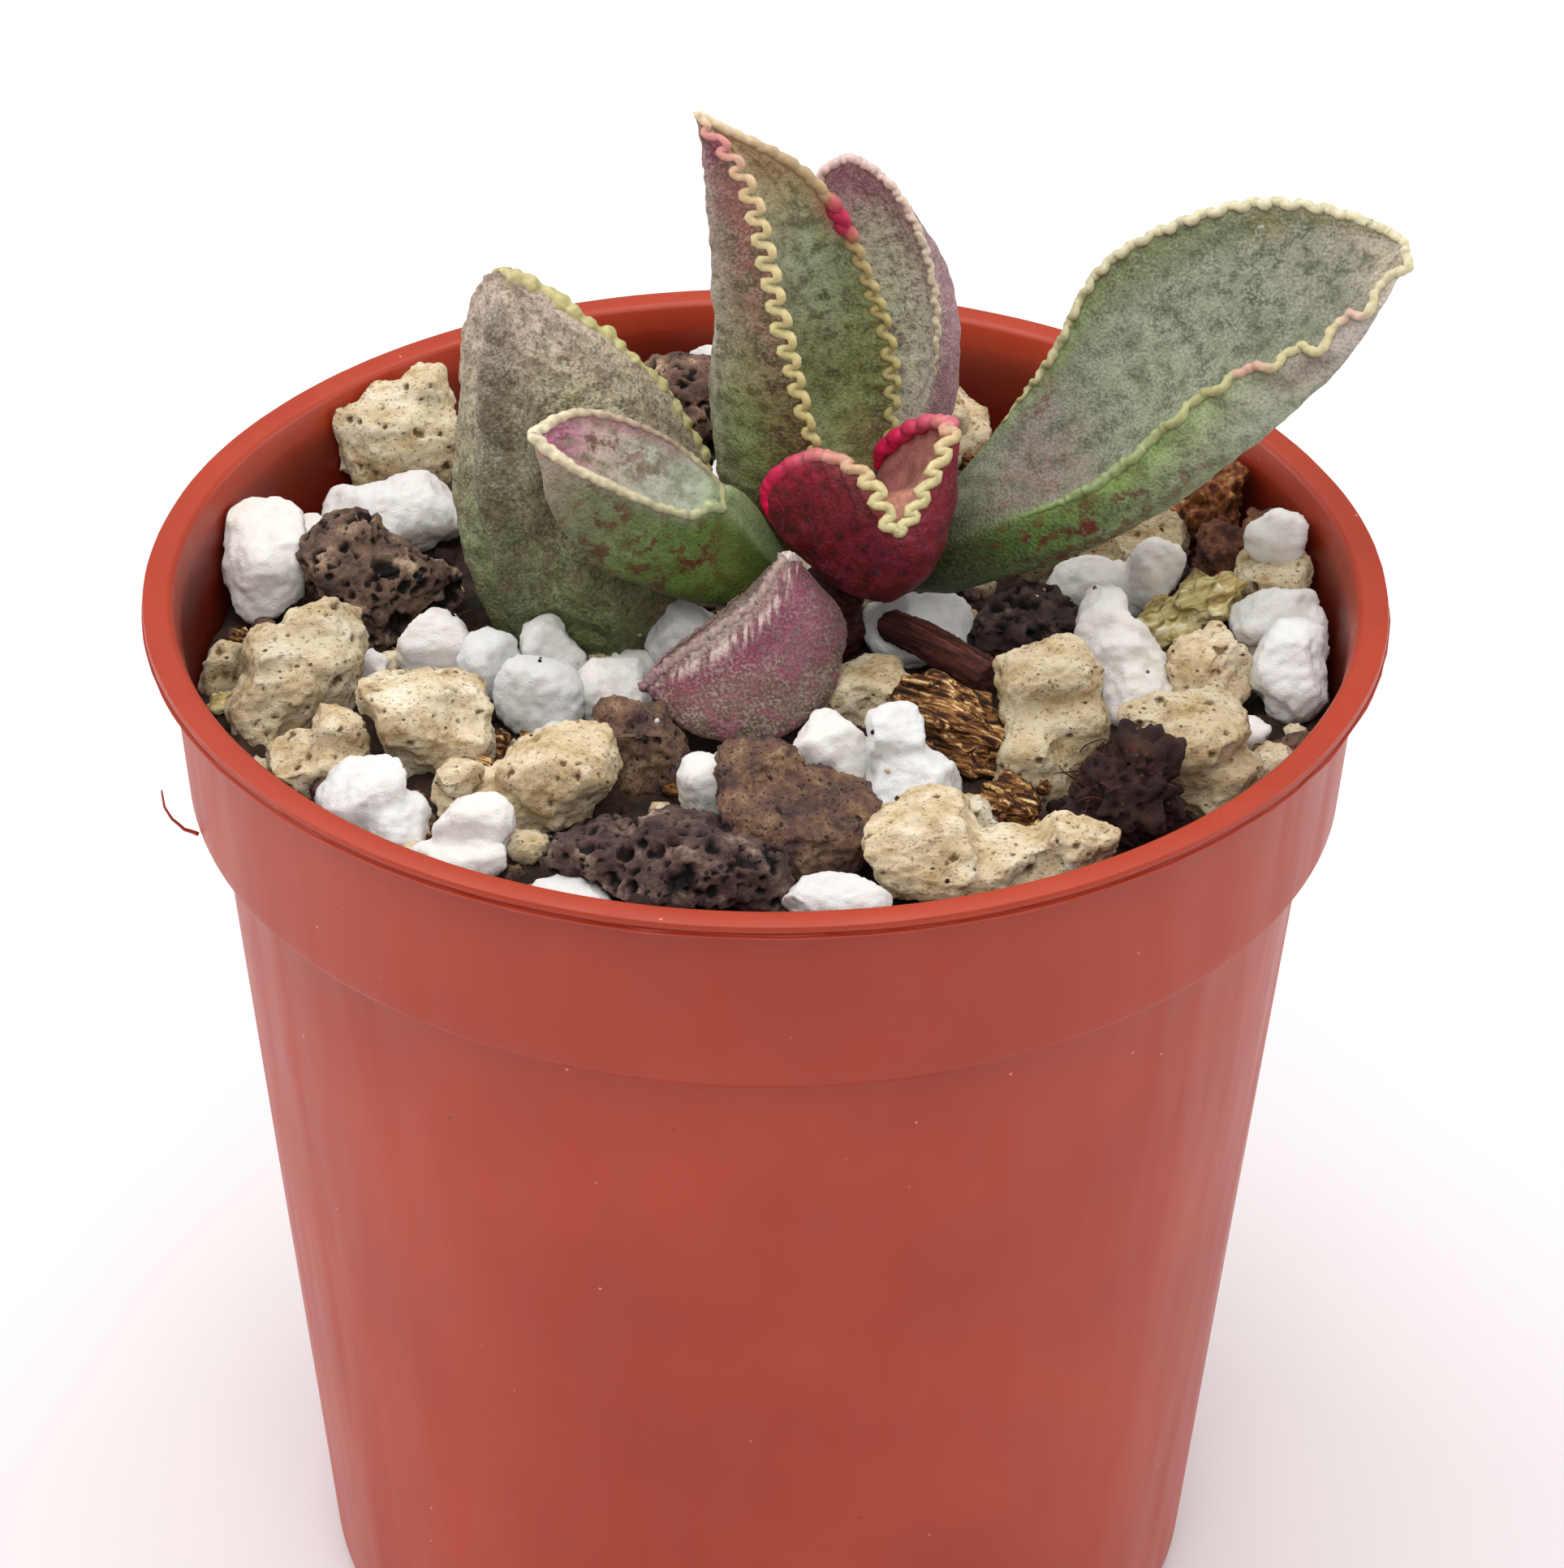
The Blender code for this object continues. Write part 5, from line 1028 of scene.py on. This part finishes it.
def make_leaf(name, material):
    """A leaf's skin: a sphere whose rings are carried to the leaf's sections."""
    leaf, skin = Leaf(name), SKINS[name]
    colours = {side: shades(skin[side], skin["light"]) for side in ("upper", "back")}
    colours["touches"] = shades((touch[4] for touch in skin["touches"]), skin["light"])
    bm = bmesh.new()
    tints = bm.verts.layers.float_color.new("tint")
    marks = bm.verts.layers.float_vector.new("marks")
    bmesh.ops.create_uvsphere(bm, u_segments=LEAF_AROUND, v_segments=LEAF_ALONG, radius=1.0)
    rings, spots = {}, []
    for vertex in bm.verts:
        x, y, z = vertex.co
        share = math.acos(max(-1.0, min(1.0, z))) / math.pi
        t = 1 - (1 - share) ** TIP_SPREAD
        phi = math.atan2(y, x)
        key = round(share * LEAF_ALONG)
        if key not in rings:
            section = leaf.section(t)
            rings[key] = section, [leaf.ripple(side, t, *section[1:]) for side in ("near", "far")]
        section, ripples = rings[key]
        vertex.co = leaf.point(t, phi, section, ripples) if 0 < key < LEAF_ALONG else section[0]
        turn = phi / math.pi
        spots.append((t, turn))
        vertex[tints] = (*tint_at(skin, colours, t, turn), 1.0)
        vertex[marks] = [amount(skin.get(mark, []), t, turn) for mark in ("mottled", "spotted", "streaked")]
    bmesh.ops.recalc_face_normals(bm, faces=bm.faces)
    bm.normal_update()
    rises = []
    round_it, along_it, wrinkle = skin.get("wrinkles", (1.0, 1.0, 0.0))
    for vertex, (t, turn) in zip(bm.verts, spots):
        # The rims stay calm, furrows and wrinkles get painted shade as deep as they sink and the stalk has
        # less bloom
        calm = 1 - abs(math.cos(math.pi * turn)) ** 10
        place = vertex.co + Vector((leaf.shift, 0.0, 0.0))
        rise = sum(height * noise.noise(place / size) for size, height in skin["bumps"])
        folded = noise.noise(Vector((turn * round_it, t * along_it, leaf.shift)))
        sunk = crease_at(skin["creases"], t, turn) + wrinkle * max(0.0, 1 - 5 * abs(folded)) ** 2
        shaded = Vector(vertex[tints][:3]) * (1 - 0.5 * min(1.0, sunk / 0.8))
        vertex[tints] = (*shaded, min(1.0, BARE_STALK + 1.5 * t))
        rises.append(calm * min(1.0, 6 * t) * (rise - sunk))
    for vertex, rise in zip(bm.verts, rises):
        vertex.co += vertex.normal * rise
    finish_piece(name + "_skin", bm, material, LEAF_SLOT[name], name)
    return leaf


def tube(route, radii, sides):
    """A closed round cord along a route, as a bmesh."""
    curve = bpy.data.curves.new("route", "CURVE")
    curve.dimensions = "3D"
    curve.bevel_depth = 1.0
    curve.bevel_resolution = sides
    curve.use_fill_caps = True
    path = curve.splines.new("POLY")
    path.points.add(len(route) - 1)
    for point, place, radius in zip(path.points, route, radii):
        point.co = (*place, 1.0)
        point.radius = radius
    bm = bmesh_from(set_out("route", curve))
    close(bm)
    return bm


def knobs(route, radii, spacing):
    """Rounded knobs in a row along a route, grown together."""
    bm = tube(route, [0.6 * radius for radius in radii], 3)
    run, due = 0.0, 0.0
    for before, place, radius in zip(route, route[1:], radii[1:]):
        run += (place - before).length
        if run < due:
            continue
        run, due = 0.0, spacing * (1 + 0.7 * noise.noise(place / 0.8))
        bmesh.ops.create_icosphere(bm, subdivisions=3, matrix=Matrix.Translation(place),
                                   radius=radius * (0.95 + 0.3 * noise.noise(place / 0.5)))
    grown = remade(bm, KNOB_GRID)
    smooth(grown)
    smooth(grown)
    return grown


def make_margin(name, leaf, material):
    """The cord that runs round a leaf's rim, waved and beaded."""
    margin = leaf.margin
    spacing, depth = margin["beads"]
    rows = []
    for side in ("near", "far"):
        rim = margin[side]
        tones = shades(rim["colours"])
        outward = -1 if side == "near" else 1
        length = leaf.runs[side][-1]
        count = int(length * (1 - rim["start"]) / MARGIN_STEP)
        stretch = []
        for i in range(count + 1):
            t = rim["start"] + (1 - rim["start"]) * i / count
            phase, _ = leaf.wave(side, t)
            place = t - rim["fold"] * rim["pitch"] / length * math.sin(2 * phase) * min(1.0, 12 * (1 - t))
            _, half, deep = leaf.section(min(t, 0.985))
            spot = leaf.rails(place)[side] + leaf.ripple(side, t, half, deep)
            run = level(leaf.runs[side], t)
            bead = 1 + depth * math.cos(math.tau * run / spacing + 2 * noise.noise(Vector((run / 3, 0, 3))))
            grow = 1.0 if margin.get("closed") else min(1.0, 0.25 + 8 * (t - rim["start"]))
            radius = level(rim["radius"], t) * bead * grow
            spot -= half.normalized() * outward * radius * margin["inset"] * min(1.0, 15 * (1 - t))
            tone = level(tones, t)
            for patch_side, patch_place, reach, code, swell in margin["patches"]:
                if patch_side == side:
                    weight = math.exp(-((t - patch_place) / reach) ** 4)
                    tone = tone.lerp(Vector(linear(code)[:3]), weight)
                    radius *= 1 + (swell - 1) * weight
            stretch.append((spot, radius, tone))
        rows += stretch if side == "near" else stretch[::-1][1:]
    if margin.get("closed"):
        first = margin["near"]["start"]
        section = leaf.section(first)
        for i in range(1, CLOSING_STEPS):
            phi = -math.pi * (1 - i / CLOSING_STEPS)
            rows.append((leaf.point(first, phi, section, (Vector(), Vector())), *rows[-1][1:]))
        rows.append(rows[0])
    route, radii, colours = zip(*rows)
    bm = knobs(route, radii, margin["knobs"]) if "knobs" in margin else tube(route, radii, 3)
    tints = bm.verts.layers.float_color.new("tint")
    tree = kdtree.KDTree(len(route))
    for i, place in enumerate(route):
        tree.insert(place, i)
    tree.balance()
    bm.normal_update()
    fuzz_size, fuzz = margin["fuzz"]
    # The fuzz's bumps are painted lighter and its dips darker: painted light and shade on its relief
    for vertex in bm.verts:
        _, i, _ = tree.find(vertex.co)
        rise = noise.noise(vertex.co / fuzz_size)
        vertex[tints] = (*(colours[i] * (1 + 3 * fuzz * rise)), 1.0)
        vertex.co += vertex.normal * fuzz * rise
    finish_piece(name + "_margin", bm, material, LEAF_SLOT[name])


# Grit

def remade(bm, grid):
    """The same closed form with an even fine mesh, grid millimetres wide."""
    form = set_out("coarse", mesh_from("coarse", bm))
    remesh = form.modifiers.new("grid", "REMESH")
    remesh.mode = "VOXEL"
    remesh.voxel_size = grid
    return bmesh_from(form)


def weather(bm, kind, seed):
    """Give a lump the lumps, puffs, dents and pores of its kind."""
    form = WEATHER[kind]
    for _ in range(form["smooth"]):
        smooth(bm)
    shift = Vector((seed * 1.7, seed * 3.1, seed * 0.9))
    fibre = Vector(form.get("fibre", (0.0, 0.0, 0.0)))
    bm.normal_update()
    rises = []
    for vertex in bm.verts:
        place = vertex.co - fibre * vertex.co.dot(fibre) * DRAWN_OUT + shift
        rise = sum(height * noise.noise(place / size) for size, height in form["lumps"])
        for size, height in form["puffs"]:
            centre = noise.voronoi(place / size)[0][0]
            rise += height * (1 - min(1.0, centre / 0.8) ** 2)
        rises.append(rise)
    for vertex, rise in zip(bm.verts, rises):
        vertex.co += vertex.normal * rise
    # How deep in a pore each spot lies, kept for the finish to paint as shade
    pore = bm.verts.layers.float.new("pore")
    bm.normal_update()
    for vertex in bm.verts:
        place = vertex.co + shift
        ragged = 0.25 * noise.noise(place / 0.3)
        sunk, shade = 0.0, 0.0
        for spacing, radius, depth in form["pores"]:
            distances, centres = noise.voronoi(place / spacing)
            reach = radius * (0.65 + 0.55 * noise.cell(centres[0] * 7.3)) / spacing
            inside = distances[0] / max(reach, 1e-3) + ragged
            if inside < 1:
                bowl = math.sqrt(1 - max(0.0, inside) ** 2)
                sunk = max(sunk, depth * bowl)
                shade = max(shade, bowl)
        vertex[pore] = shade
        vertex.co -= vertex.normal * sunk
    return bm


def set_tone(bm, tone):
    """Give every point of a grain its lot's tone, and keep the grain inside the wall."""
    tones = bm.verts.layers.float_color.new("tone")
    for vertex in bm.verts:
        vertex[tones] = (*tone, 1.0)
        reach = (inner_radius(vertex.co.z) - WALL_GAP) / max(vertex.co.xy.length, 1e-6)
        if reach < 1:
            vertex.co.xy *= reach
    return bm


def lot_tone(draw):
    """A slightly lighter or darker, warmer or cooler lot of stone."""
    light = draw.uniform(0.92, 1.1)
    warm = draw.uniform(-0.02, 0.03)
    return light * (1 + warm), light, light * (1 - warm)


def block(bm, kind, place, size, seed):
    """Add a rounded block to a bmesh, a little turned and broken flat here and there."""
    form = WEATHER[kind]
    made = bmesh.ops.create_icosphere(bm, subdivisions=4, radius=1.0)
    turn = Euler((0.15 * math.sin(seed * 2.1), 0.15 * math.sin(seed * 3.7), 0.35 * math.sin(seed * 1.3)))
    spin = turn.to_matrix()
    draw = random.Random(seed)
    breaks = [Vector([draw.gauss(0, 1) for _ in range(3)]).normalized() for _ in range(form["breaks"])]
    for vertex in made["verts"]:
        local = Vector([math.copysign(abs(c) ** form["square"], c) for c in vertex.co])
        for face in breaks:
            local -= face * max(0.0, local.dot(face) - form["cut"])
        vertex.co = place + spin @ Vector([c * (s + form["swell"]) / 2 for c, s in zip(local, size)])


def grain_copy(node, kind, seed):
    """A grain of the frame, weathered; those that show are built up from their blocks."""
    bm = bmesh.new()
    bm.from_mesh(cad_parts[node].data)
    bmesh.ops.transform(bm, matrix=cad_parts[node].matrix_world, verts=bm.verts)
    bmesh.ops.scale(bm, vec=(1 / MM,) * 3, verts=bm.verts)
    bmesh.ops.remove_doubles(bm, verts=bm.verts, dist=1e-3)
    centre = sum((v.co for v in bm.verts), Vector()) / len(bm.verts)
    blocks = FORMS.get(node, [])
    for vertex in bm.verts:
        vertex.co = centre + (vertex.co - centre) * (CORE if blocks else SWOLLEN)
        vertex.co.z -= CORE_DROP if blocks else 0.0
    low, high = (Vector(corner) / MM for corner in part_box(node))
    for i, row in enumerate(blocks):
        middle, size = (Vector([share * side for share, side in zip(part, high - low)])
                        for part in (row[:3], row[3:]))
        block(bm, kind, low + middle, size, seed + 0.7 * i)
    return weather(remade(bm, WEATHER[kind]["grid"] * (1 if blocks else COARSE)), kind, seed)


def dropped(ground, x, y):
    """Where a thing dropped at x and y comes to rest, or None beyond the grit."""
    return ground.ray_cast(Vector((x, y, SKY)), Vector((0, 0, -1)))[0]


def small_grain(kind, x, y, width, height, ground, seed):
    """A small grain that sits on whatever is under it."""
    middle = dropped(ground, x, y) + Vector((0.0, 0.0, SMALL_SEAT * height))
    bm = bmesh.new()
    block(bm, kind, middle, (width, 0.85 * width, height), seed)
    return weather(remade(bm, WEATHER[kind]["grid"] * COARSE), kind, seed)


def join(parts):
    """One bmesh out of several."""
    whole = bmesh.new()
    whole.verts.layers.float.new("pore")
    whole.verts.layers.float_color.new("tone")
    for part in parts:
        mesh = mesh_from("part", part)
        whole.from_mesh(mesh)
        bpy.data.meshes.remove(mesh)
    return whole


def plain(bm):
    """A form without pores or tint, so that it can be joined or wear a stone's finish."""
    bm.verts.layers.float.new("pore")
    return set_tone(bm, (1.0, 1.0, 1.0))


def make_grit(materials):
    """Every grain of the frame, weathered."""
    draw = random.Random(SEED + 2)
    grains = [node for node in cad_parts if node.rsplit("_", 1)[0] in WEATHER]
    for seed, node in enumerate(grains, 1):
        kind, number = node.rsplit("_", 1)
        grain = set_tone(grain_copy(node, kind, seed), LOTS.get(node, lot_tone(draw)))
        finish_piece(f"{kind}_grain_{number}", grain, materials.get(node, materials[kind]), kind, node)


def deep_spot(draw, ground, tries):
    """The lowest of a few spots drawn on the surface of the grit."""
    lowest = None
    for _ in range(tries):
        radius = (GRAVEL_RADIUS - 0.9) * math.sqrt(draw.random())
        angle = draw.random() * math.tau
        hit = dropped(ground, radius * math.cos(angle), radius * math.sin(angle))
        if hit is not None and (lowest is None or hit.z < lowest.z):
            lowest = hit
    return lowest


def make_small_grains(materials, ground):
    """The small grains that show, and the chips that fill the deepest gaps."""
    draw = random.Random(SEED + 3)
    rows = list(SMALL_GRAINS)
    taken = [Vector((row[1], row[2])) for row in rows]
    for count in range(CHIP_COUNT):
        spot = deep_spot(draw, ground, CHIP_TRIES)
        width = draw.uniform(*CHIP_SIZES)
        if spot is None or spot.z > FULL or any((spot.xy - other).length < CHIP_SPACING for other in taken):
            continue
        taken.append(spot.xy)
        rows.append((CHIP_KINDS[count % len(CHIP_KINDS)], *spot.xy, width, 0.8 * width))
    smalls = {}
    for seed, row in enumerate(rows, 60):
        smalls.setdefault(row[0], []).append(set_tone(small_grain(*row, ground, seed), lot_tone(draw)))
    for kind, parts in smalls.items():
        finish_piece(f"{kind}_small", join(parts), materials[kind], kind)


def surface_below():
    """What lies under a point: every finished piece, as one tree of faces."""
    corners, faces = [], []
    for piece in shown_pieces():
        start = len(corners)
        corners += [piece.matrix_world @ v.co / MM for v in piece.data.vertices]
        faces += [[start + i for i in face.vertices] for face in piece.data.polygons]
    return bvhtree.BVHTree.FromPolygons(corners, faces)


def make_crumbs(materials, ground):
    """Crumbs that have sifted into the gaps, and a few that lie on the grains."""
    draw = random.Random(SEED)
    heaps = {kind: [] for kind in dict.fromkeys(CRUMB_KINDS)}
    for count in range(CRUMB_COUNT):
        spot = deep_spot(draw, ground, 8 if count % ON_TOP else 1)
        if spot is None:
            continue
        size = draw.uniform(*CRUMB_SIZES) * (0.2 if spot.z > FULL else 1.0)
        bm = bmesh.new()
        bmesh.ops.create_uvsphere(bm, u_segments=8, v_segments=6, radius=size)
        for vertex in bm.verts:
            vertex.co *= 1 + 0.7 * noise.noise(vertex.co / size * 1.6 + Vector((count, 0, 0)) * 3.7)
            vertex.co += spot + Vector((0, 0, 0.3 * size))
        bm.verts.layers.float.new("pore")
        heaps[draw.choice(CRUMB_KINDS)].append(set_tone(bm, lot_tone(draw)))
    for kind, parts in heaps.items():
        finish_piece(f"{kind}_crumbs", join(parts), materials[kind], kind)


def make_soil_top(material):
    """The crumbly top of the potting mix between the grains."""
    bm = turned([(0.0, 0.0, SOIL_TOP), (GRAVEL_RADIUS, 0.0, SOIL_TOP)], SOIL_STEPS, SOIL_CUTS)
    for vertex in bm.verts:
        place = vertex.co.copy()
        lumps = 0.6 * noise.noise(place / 1.6) + 0.6 * abs(noise.noise(place / 0.7))
        vertex.co.z += SOIL_RISE + (lumps + 0.2 * noise.noise(place / 0.3))
    if bm.faces[0].normal.z < 0:
        bmesh.ops.reverse_faces(bm, faces=bm.faces)
    shell = bmesh.ops.extrude_face_region(bm, geom=bm.faces[:])
    for item in shell["geom"]:
        if isinstance(item, bmesh.types.BMVert):
            item.co.z = SOIL_TOP - SOIL_SKIRT
    bmesh.ops.recalc_face_normals(bm, faces=bm.faces)
    finish_piece("soil_crumb_layer", plain(bm), material, "potting_mix")


# Stem, twig and rootlets

def make_stem(material):
    """The short woody stem, ringed by old leaf scars."""
    section = [(0.0, 0.0, STEM_TOP)]
    for i in range(STEM_ROWS + 1):
        f = i / STEM_ROWS
        ring = 0.14 * math.sin(math.tau * 4 * f) + 0.06 * math.sin(math.tau * 11 * f)
        section.append((STEM_RADIUS * (0.75 if i == 0 else 1.0) + ring, 0.0,
                        STEM_TOP - 0.1 - (STEM_TOP - STEM_FOOT - 0.2) * f))
    bm = turned(section + [(0.0, 0.0, STEM_FOOT)], STEM_STEPS)
    bm.normal_update()
    for vertex in bm.verts:
        rise = 0.2 * noise.noise(vertex.co / 1.1) + 0.1 * noise.noise(vertex.co / 0.4)
        vertex.co += vertex.normal * rise + STEM_CENTRE
    finish_piece("stem_bark", bm, material, "woody_stem", "stem")


def make_twig(material):
    """A bit of dark twig with a rough grain and broken ends."""
    start, end = (Vector(place) for place in TWIG_ENDS)
    route, radii = [], []
    for i in range(TWIG_ROWS + 1):
        f = i / TWIG_ROWS
        place = start.lerp(end, f)
        place.z += TWIG_BEND * math.sin(math.pi * f)
        route.append(place)
        radii.append(TWIG_RADIUS * (0.9 + 0.2 * f) * (0.85 if i in (0, TWIG_ROWS) else 1.0))
    bm = tube(route, radii, 12)
    bm.normal_update()
    along = (end - start).normalized()
    for vertex in bm.verts:
        flat = vertex.co - along * vertex.co.dot(along) * DRAWN_OUT
        rise = 0.16 * noise.noise(flat / 0.35) + 0.08 * noise.noise(vertex.co / 0.25)
        vertex.co += vertex.normal * rise
    finish_piece("twig_wood", bm, material, "woody_stem", "twig")


def make_rootlets(material):
    """Fine rootlets: one that curls out of the mix, and a tuft of them on the peat."""
    draw = random.Random(SEED + 1)
    noise.seed_set(SEED)           # noise_vector would take its offsets from the clock
    rootlets = [(*(Vector(place) for place in LONE_ROOTLET), 1.6, 0.07)]
    for _ in range(ROOTLET_COUNT):
        start = Vector([side + draw.uniform(-reach, reach) for side, reach in zip(ROOTLET_TUFT, (2, 2, 1))])
        rootlets.append((start, Vector([draw.uniform(low, 1) for low in (-1, -1, -0.2)]), 1.4, 0.045))
    parts = []
    for i, (start, towards, length, radius) in enumerate(rootlets):
        place, heading = start.copy(), towards.normalized()
        route = [place.copy()]
        for _ in range(ROOTLET_BENDS):
            bend = Vector(noise.noise_vector(place / 0.8 + Vector((i, 0, 0)))) * 0.7
            heading = (heading + bend).normalized()
            place += heading * length / ROOTLET_BENDS
            route.append(place.copy())
        parts.append(plain(tube(route, [radius * (1 - 0.06 * k) for k in range(len(route))], 1)))
    finish_piece("rootlets", join(parts), material, "peat")


# Camera, light and floor

def make_studio():
    """A pale floor, soft light all round and the camera of the photograph."""
    scene = bpy.context.scene
    lens = bpy.data.cameras.new("camera")
    lens.sensor_width = SENSOR_WIDTH
    lens.lens = CAMERA_LENS
    lens.clip_start = 0.01
    camera = set_out("camera", lens)
    forward = Vector((0.0, math.cos(CAMERA_PITCH), -math.sin(CAMERA_PITCH)))
    upward = Vector((0.0, math.sin(CAMERA_PITCH), math.cos(CAMERA_PITCH)))
    right = Vector((1.0, 0.0, 0.0))
    turned_right = right * math.cos(CAMERA_ROLL) + upward * math.sin(CAMERA_ROLL)
    turned_up = upward * math.cos(CAMERA_ROLL) - right * math.sin(CAMERA_ROLL)
    camera.matrix_world = Matrix((turned_right, turned_up, -forward)).transposed().to_4x4()
    camera.location = CAMERA_PLACE * MM
    scene.camera = camera

    bpy.ops.mesh.primitive_plane_add(size=FLOOR_WIDTH, location=(0.0, 0.0, 0.0))
    floor = bpy.context.object
    floor.name = "floor"
    paper = bpy.data.materials.new("matt_paper")
    paper.use_nodes = True
    shader = paper.node_tree.nodes["Principled BSDF"]
    shader.inputs["Base Color"].default_value = linear("#e2e0e1")
    shader.inputs["Roughness"].default_value = 0.9
    shader.inputs["Specular IOR Level"].default_value = 0.1
    floor.data.materials.append(paper)
    floor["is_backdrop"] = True

    scene.world = bpy.data.worlds.new("studio")
    scene.world.use_nodes = True
    sky = scene.world.node_tree.nodes["Background"]
    sky.inputs["Color"].default_value = linear("#fdfbfb")
    sky.inputs["Strength"].default_value = 0.37

    for name, place, (width, height), power in SOFTBOXES:
        panel = bpy.data.lights.new(name, "AREA")
        panel.shape = "RECTANGLE"
        panel.size = width
        panel.size_y = height
        panel.energy = power
        lamp = set_out(name, panel)
        lamp.location = place
        lamp.rotation_euler = (Vector(LIT) - Vector(place)).to_track_quat("-Z", "Y").to_euler()
        lamp.visible_camera = False
    scene.view_settings.view_transform = "Standard"


make_studio()
PLASTIC = moulded_polypropylene()
make_pot(PLASTIC)
make_burr(PLASTIC)

# Each weathered stone: its tones, the colour of the pores' painted shade and of the dark dust, its specks'
# colour, their spacing and radius, and its grit
STONES = {
    "pumice": weathered_stone("pumice", ["#a68656", "#dac298", "#f0dfbe", "#f8edd8"], "#80643c", "#40301e",
                              0.42, 0.09, 0.16, streak=1.5, flecks=0.7),
    "perlite": weathered_stone("expanded_perlite", ["#f0ebe6", "#f8f5f1", "#fdfbf8"], "#cfc6be", "#4b433b",
                               1.7, 0.07, 0.12, clear=0.15, flecks=0.08),
    "lava": weathered_stone("basaltic_lava", ["#2c2020", "#4a3a38", "#68564e", "#a89688"], "#080505",
                            "#060404", 0.5, 0.15, 0.22, flecks=0.5),
    "scoria": weathered_stone("scoria", ["#2c1c1c", "#624842", "#8c6a52", "#c2a480"], "#1f1410", "#140c0a",
                              0.45, 0.12, 0.3, flecks=0.9),
    "peat": weathered_stone("peat", ["#1c0e0a", "#3a201a", "#5e382c"], "#0c0605", "#7f5a44", 0.4, 0.1, 0.3),
    "bark": fibrous_wood("weathered_bark", ["#120804", "#3a1e0c", "#8a5c2e", "#e0c690"],
                         (0.8, -0.55, 0.1), 0.2),
    "bark_2": fibrous_wood("rusty_bark", ["#2c160c", "#663820", "#985f38", "#c89a68"],
                           (0.2, -0.5, 0.8), 0.4),
    "flake": fibrous_wood("vermiculite", ["#6c562e", "#a08c54", "#c8b884", "#eae2c0"],
                          (1.0, 0.5, 0.1), 0.5, gloss=0.4),
}
WOOD = fibrous_wood("woody_stem", ["#1a0a08", "#32140f", "#48211b", "#643830"], (0.61, -0.78, 0.12), 0.25)
MIX = weathered_stone("potting_compost", ["#1c100b", "#352216", "#58402c"], "#0c0604", "#86643e",
                      0.7, 0.14, 0.3)
MARGIN = corky_margin()

for leaf_name in LEAVES:
    velvet = 0.12 if leaf_name == "leaf_half" else 0.04
    epidermis = scurfy_leaf(leaf_name + "_epidermis", SKINS[leaf_name], velvet)
    make_margin(leaf_name, make_leaf(leaf_name, epidermis), MARGIN)

make_stem(WOOD)
make_twig(WOOD)
make_grit(STONES)
for material_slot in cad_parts["soil"].material_slots:
    material_slot.material = MIX
make_soil_top(MIX)
make_small_grains(STONES, surface_below())
make_crumbs(STONES, surface_below())
make_rootlets(WOOD)
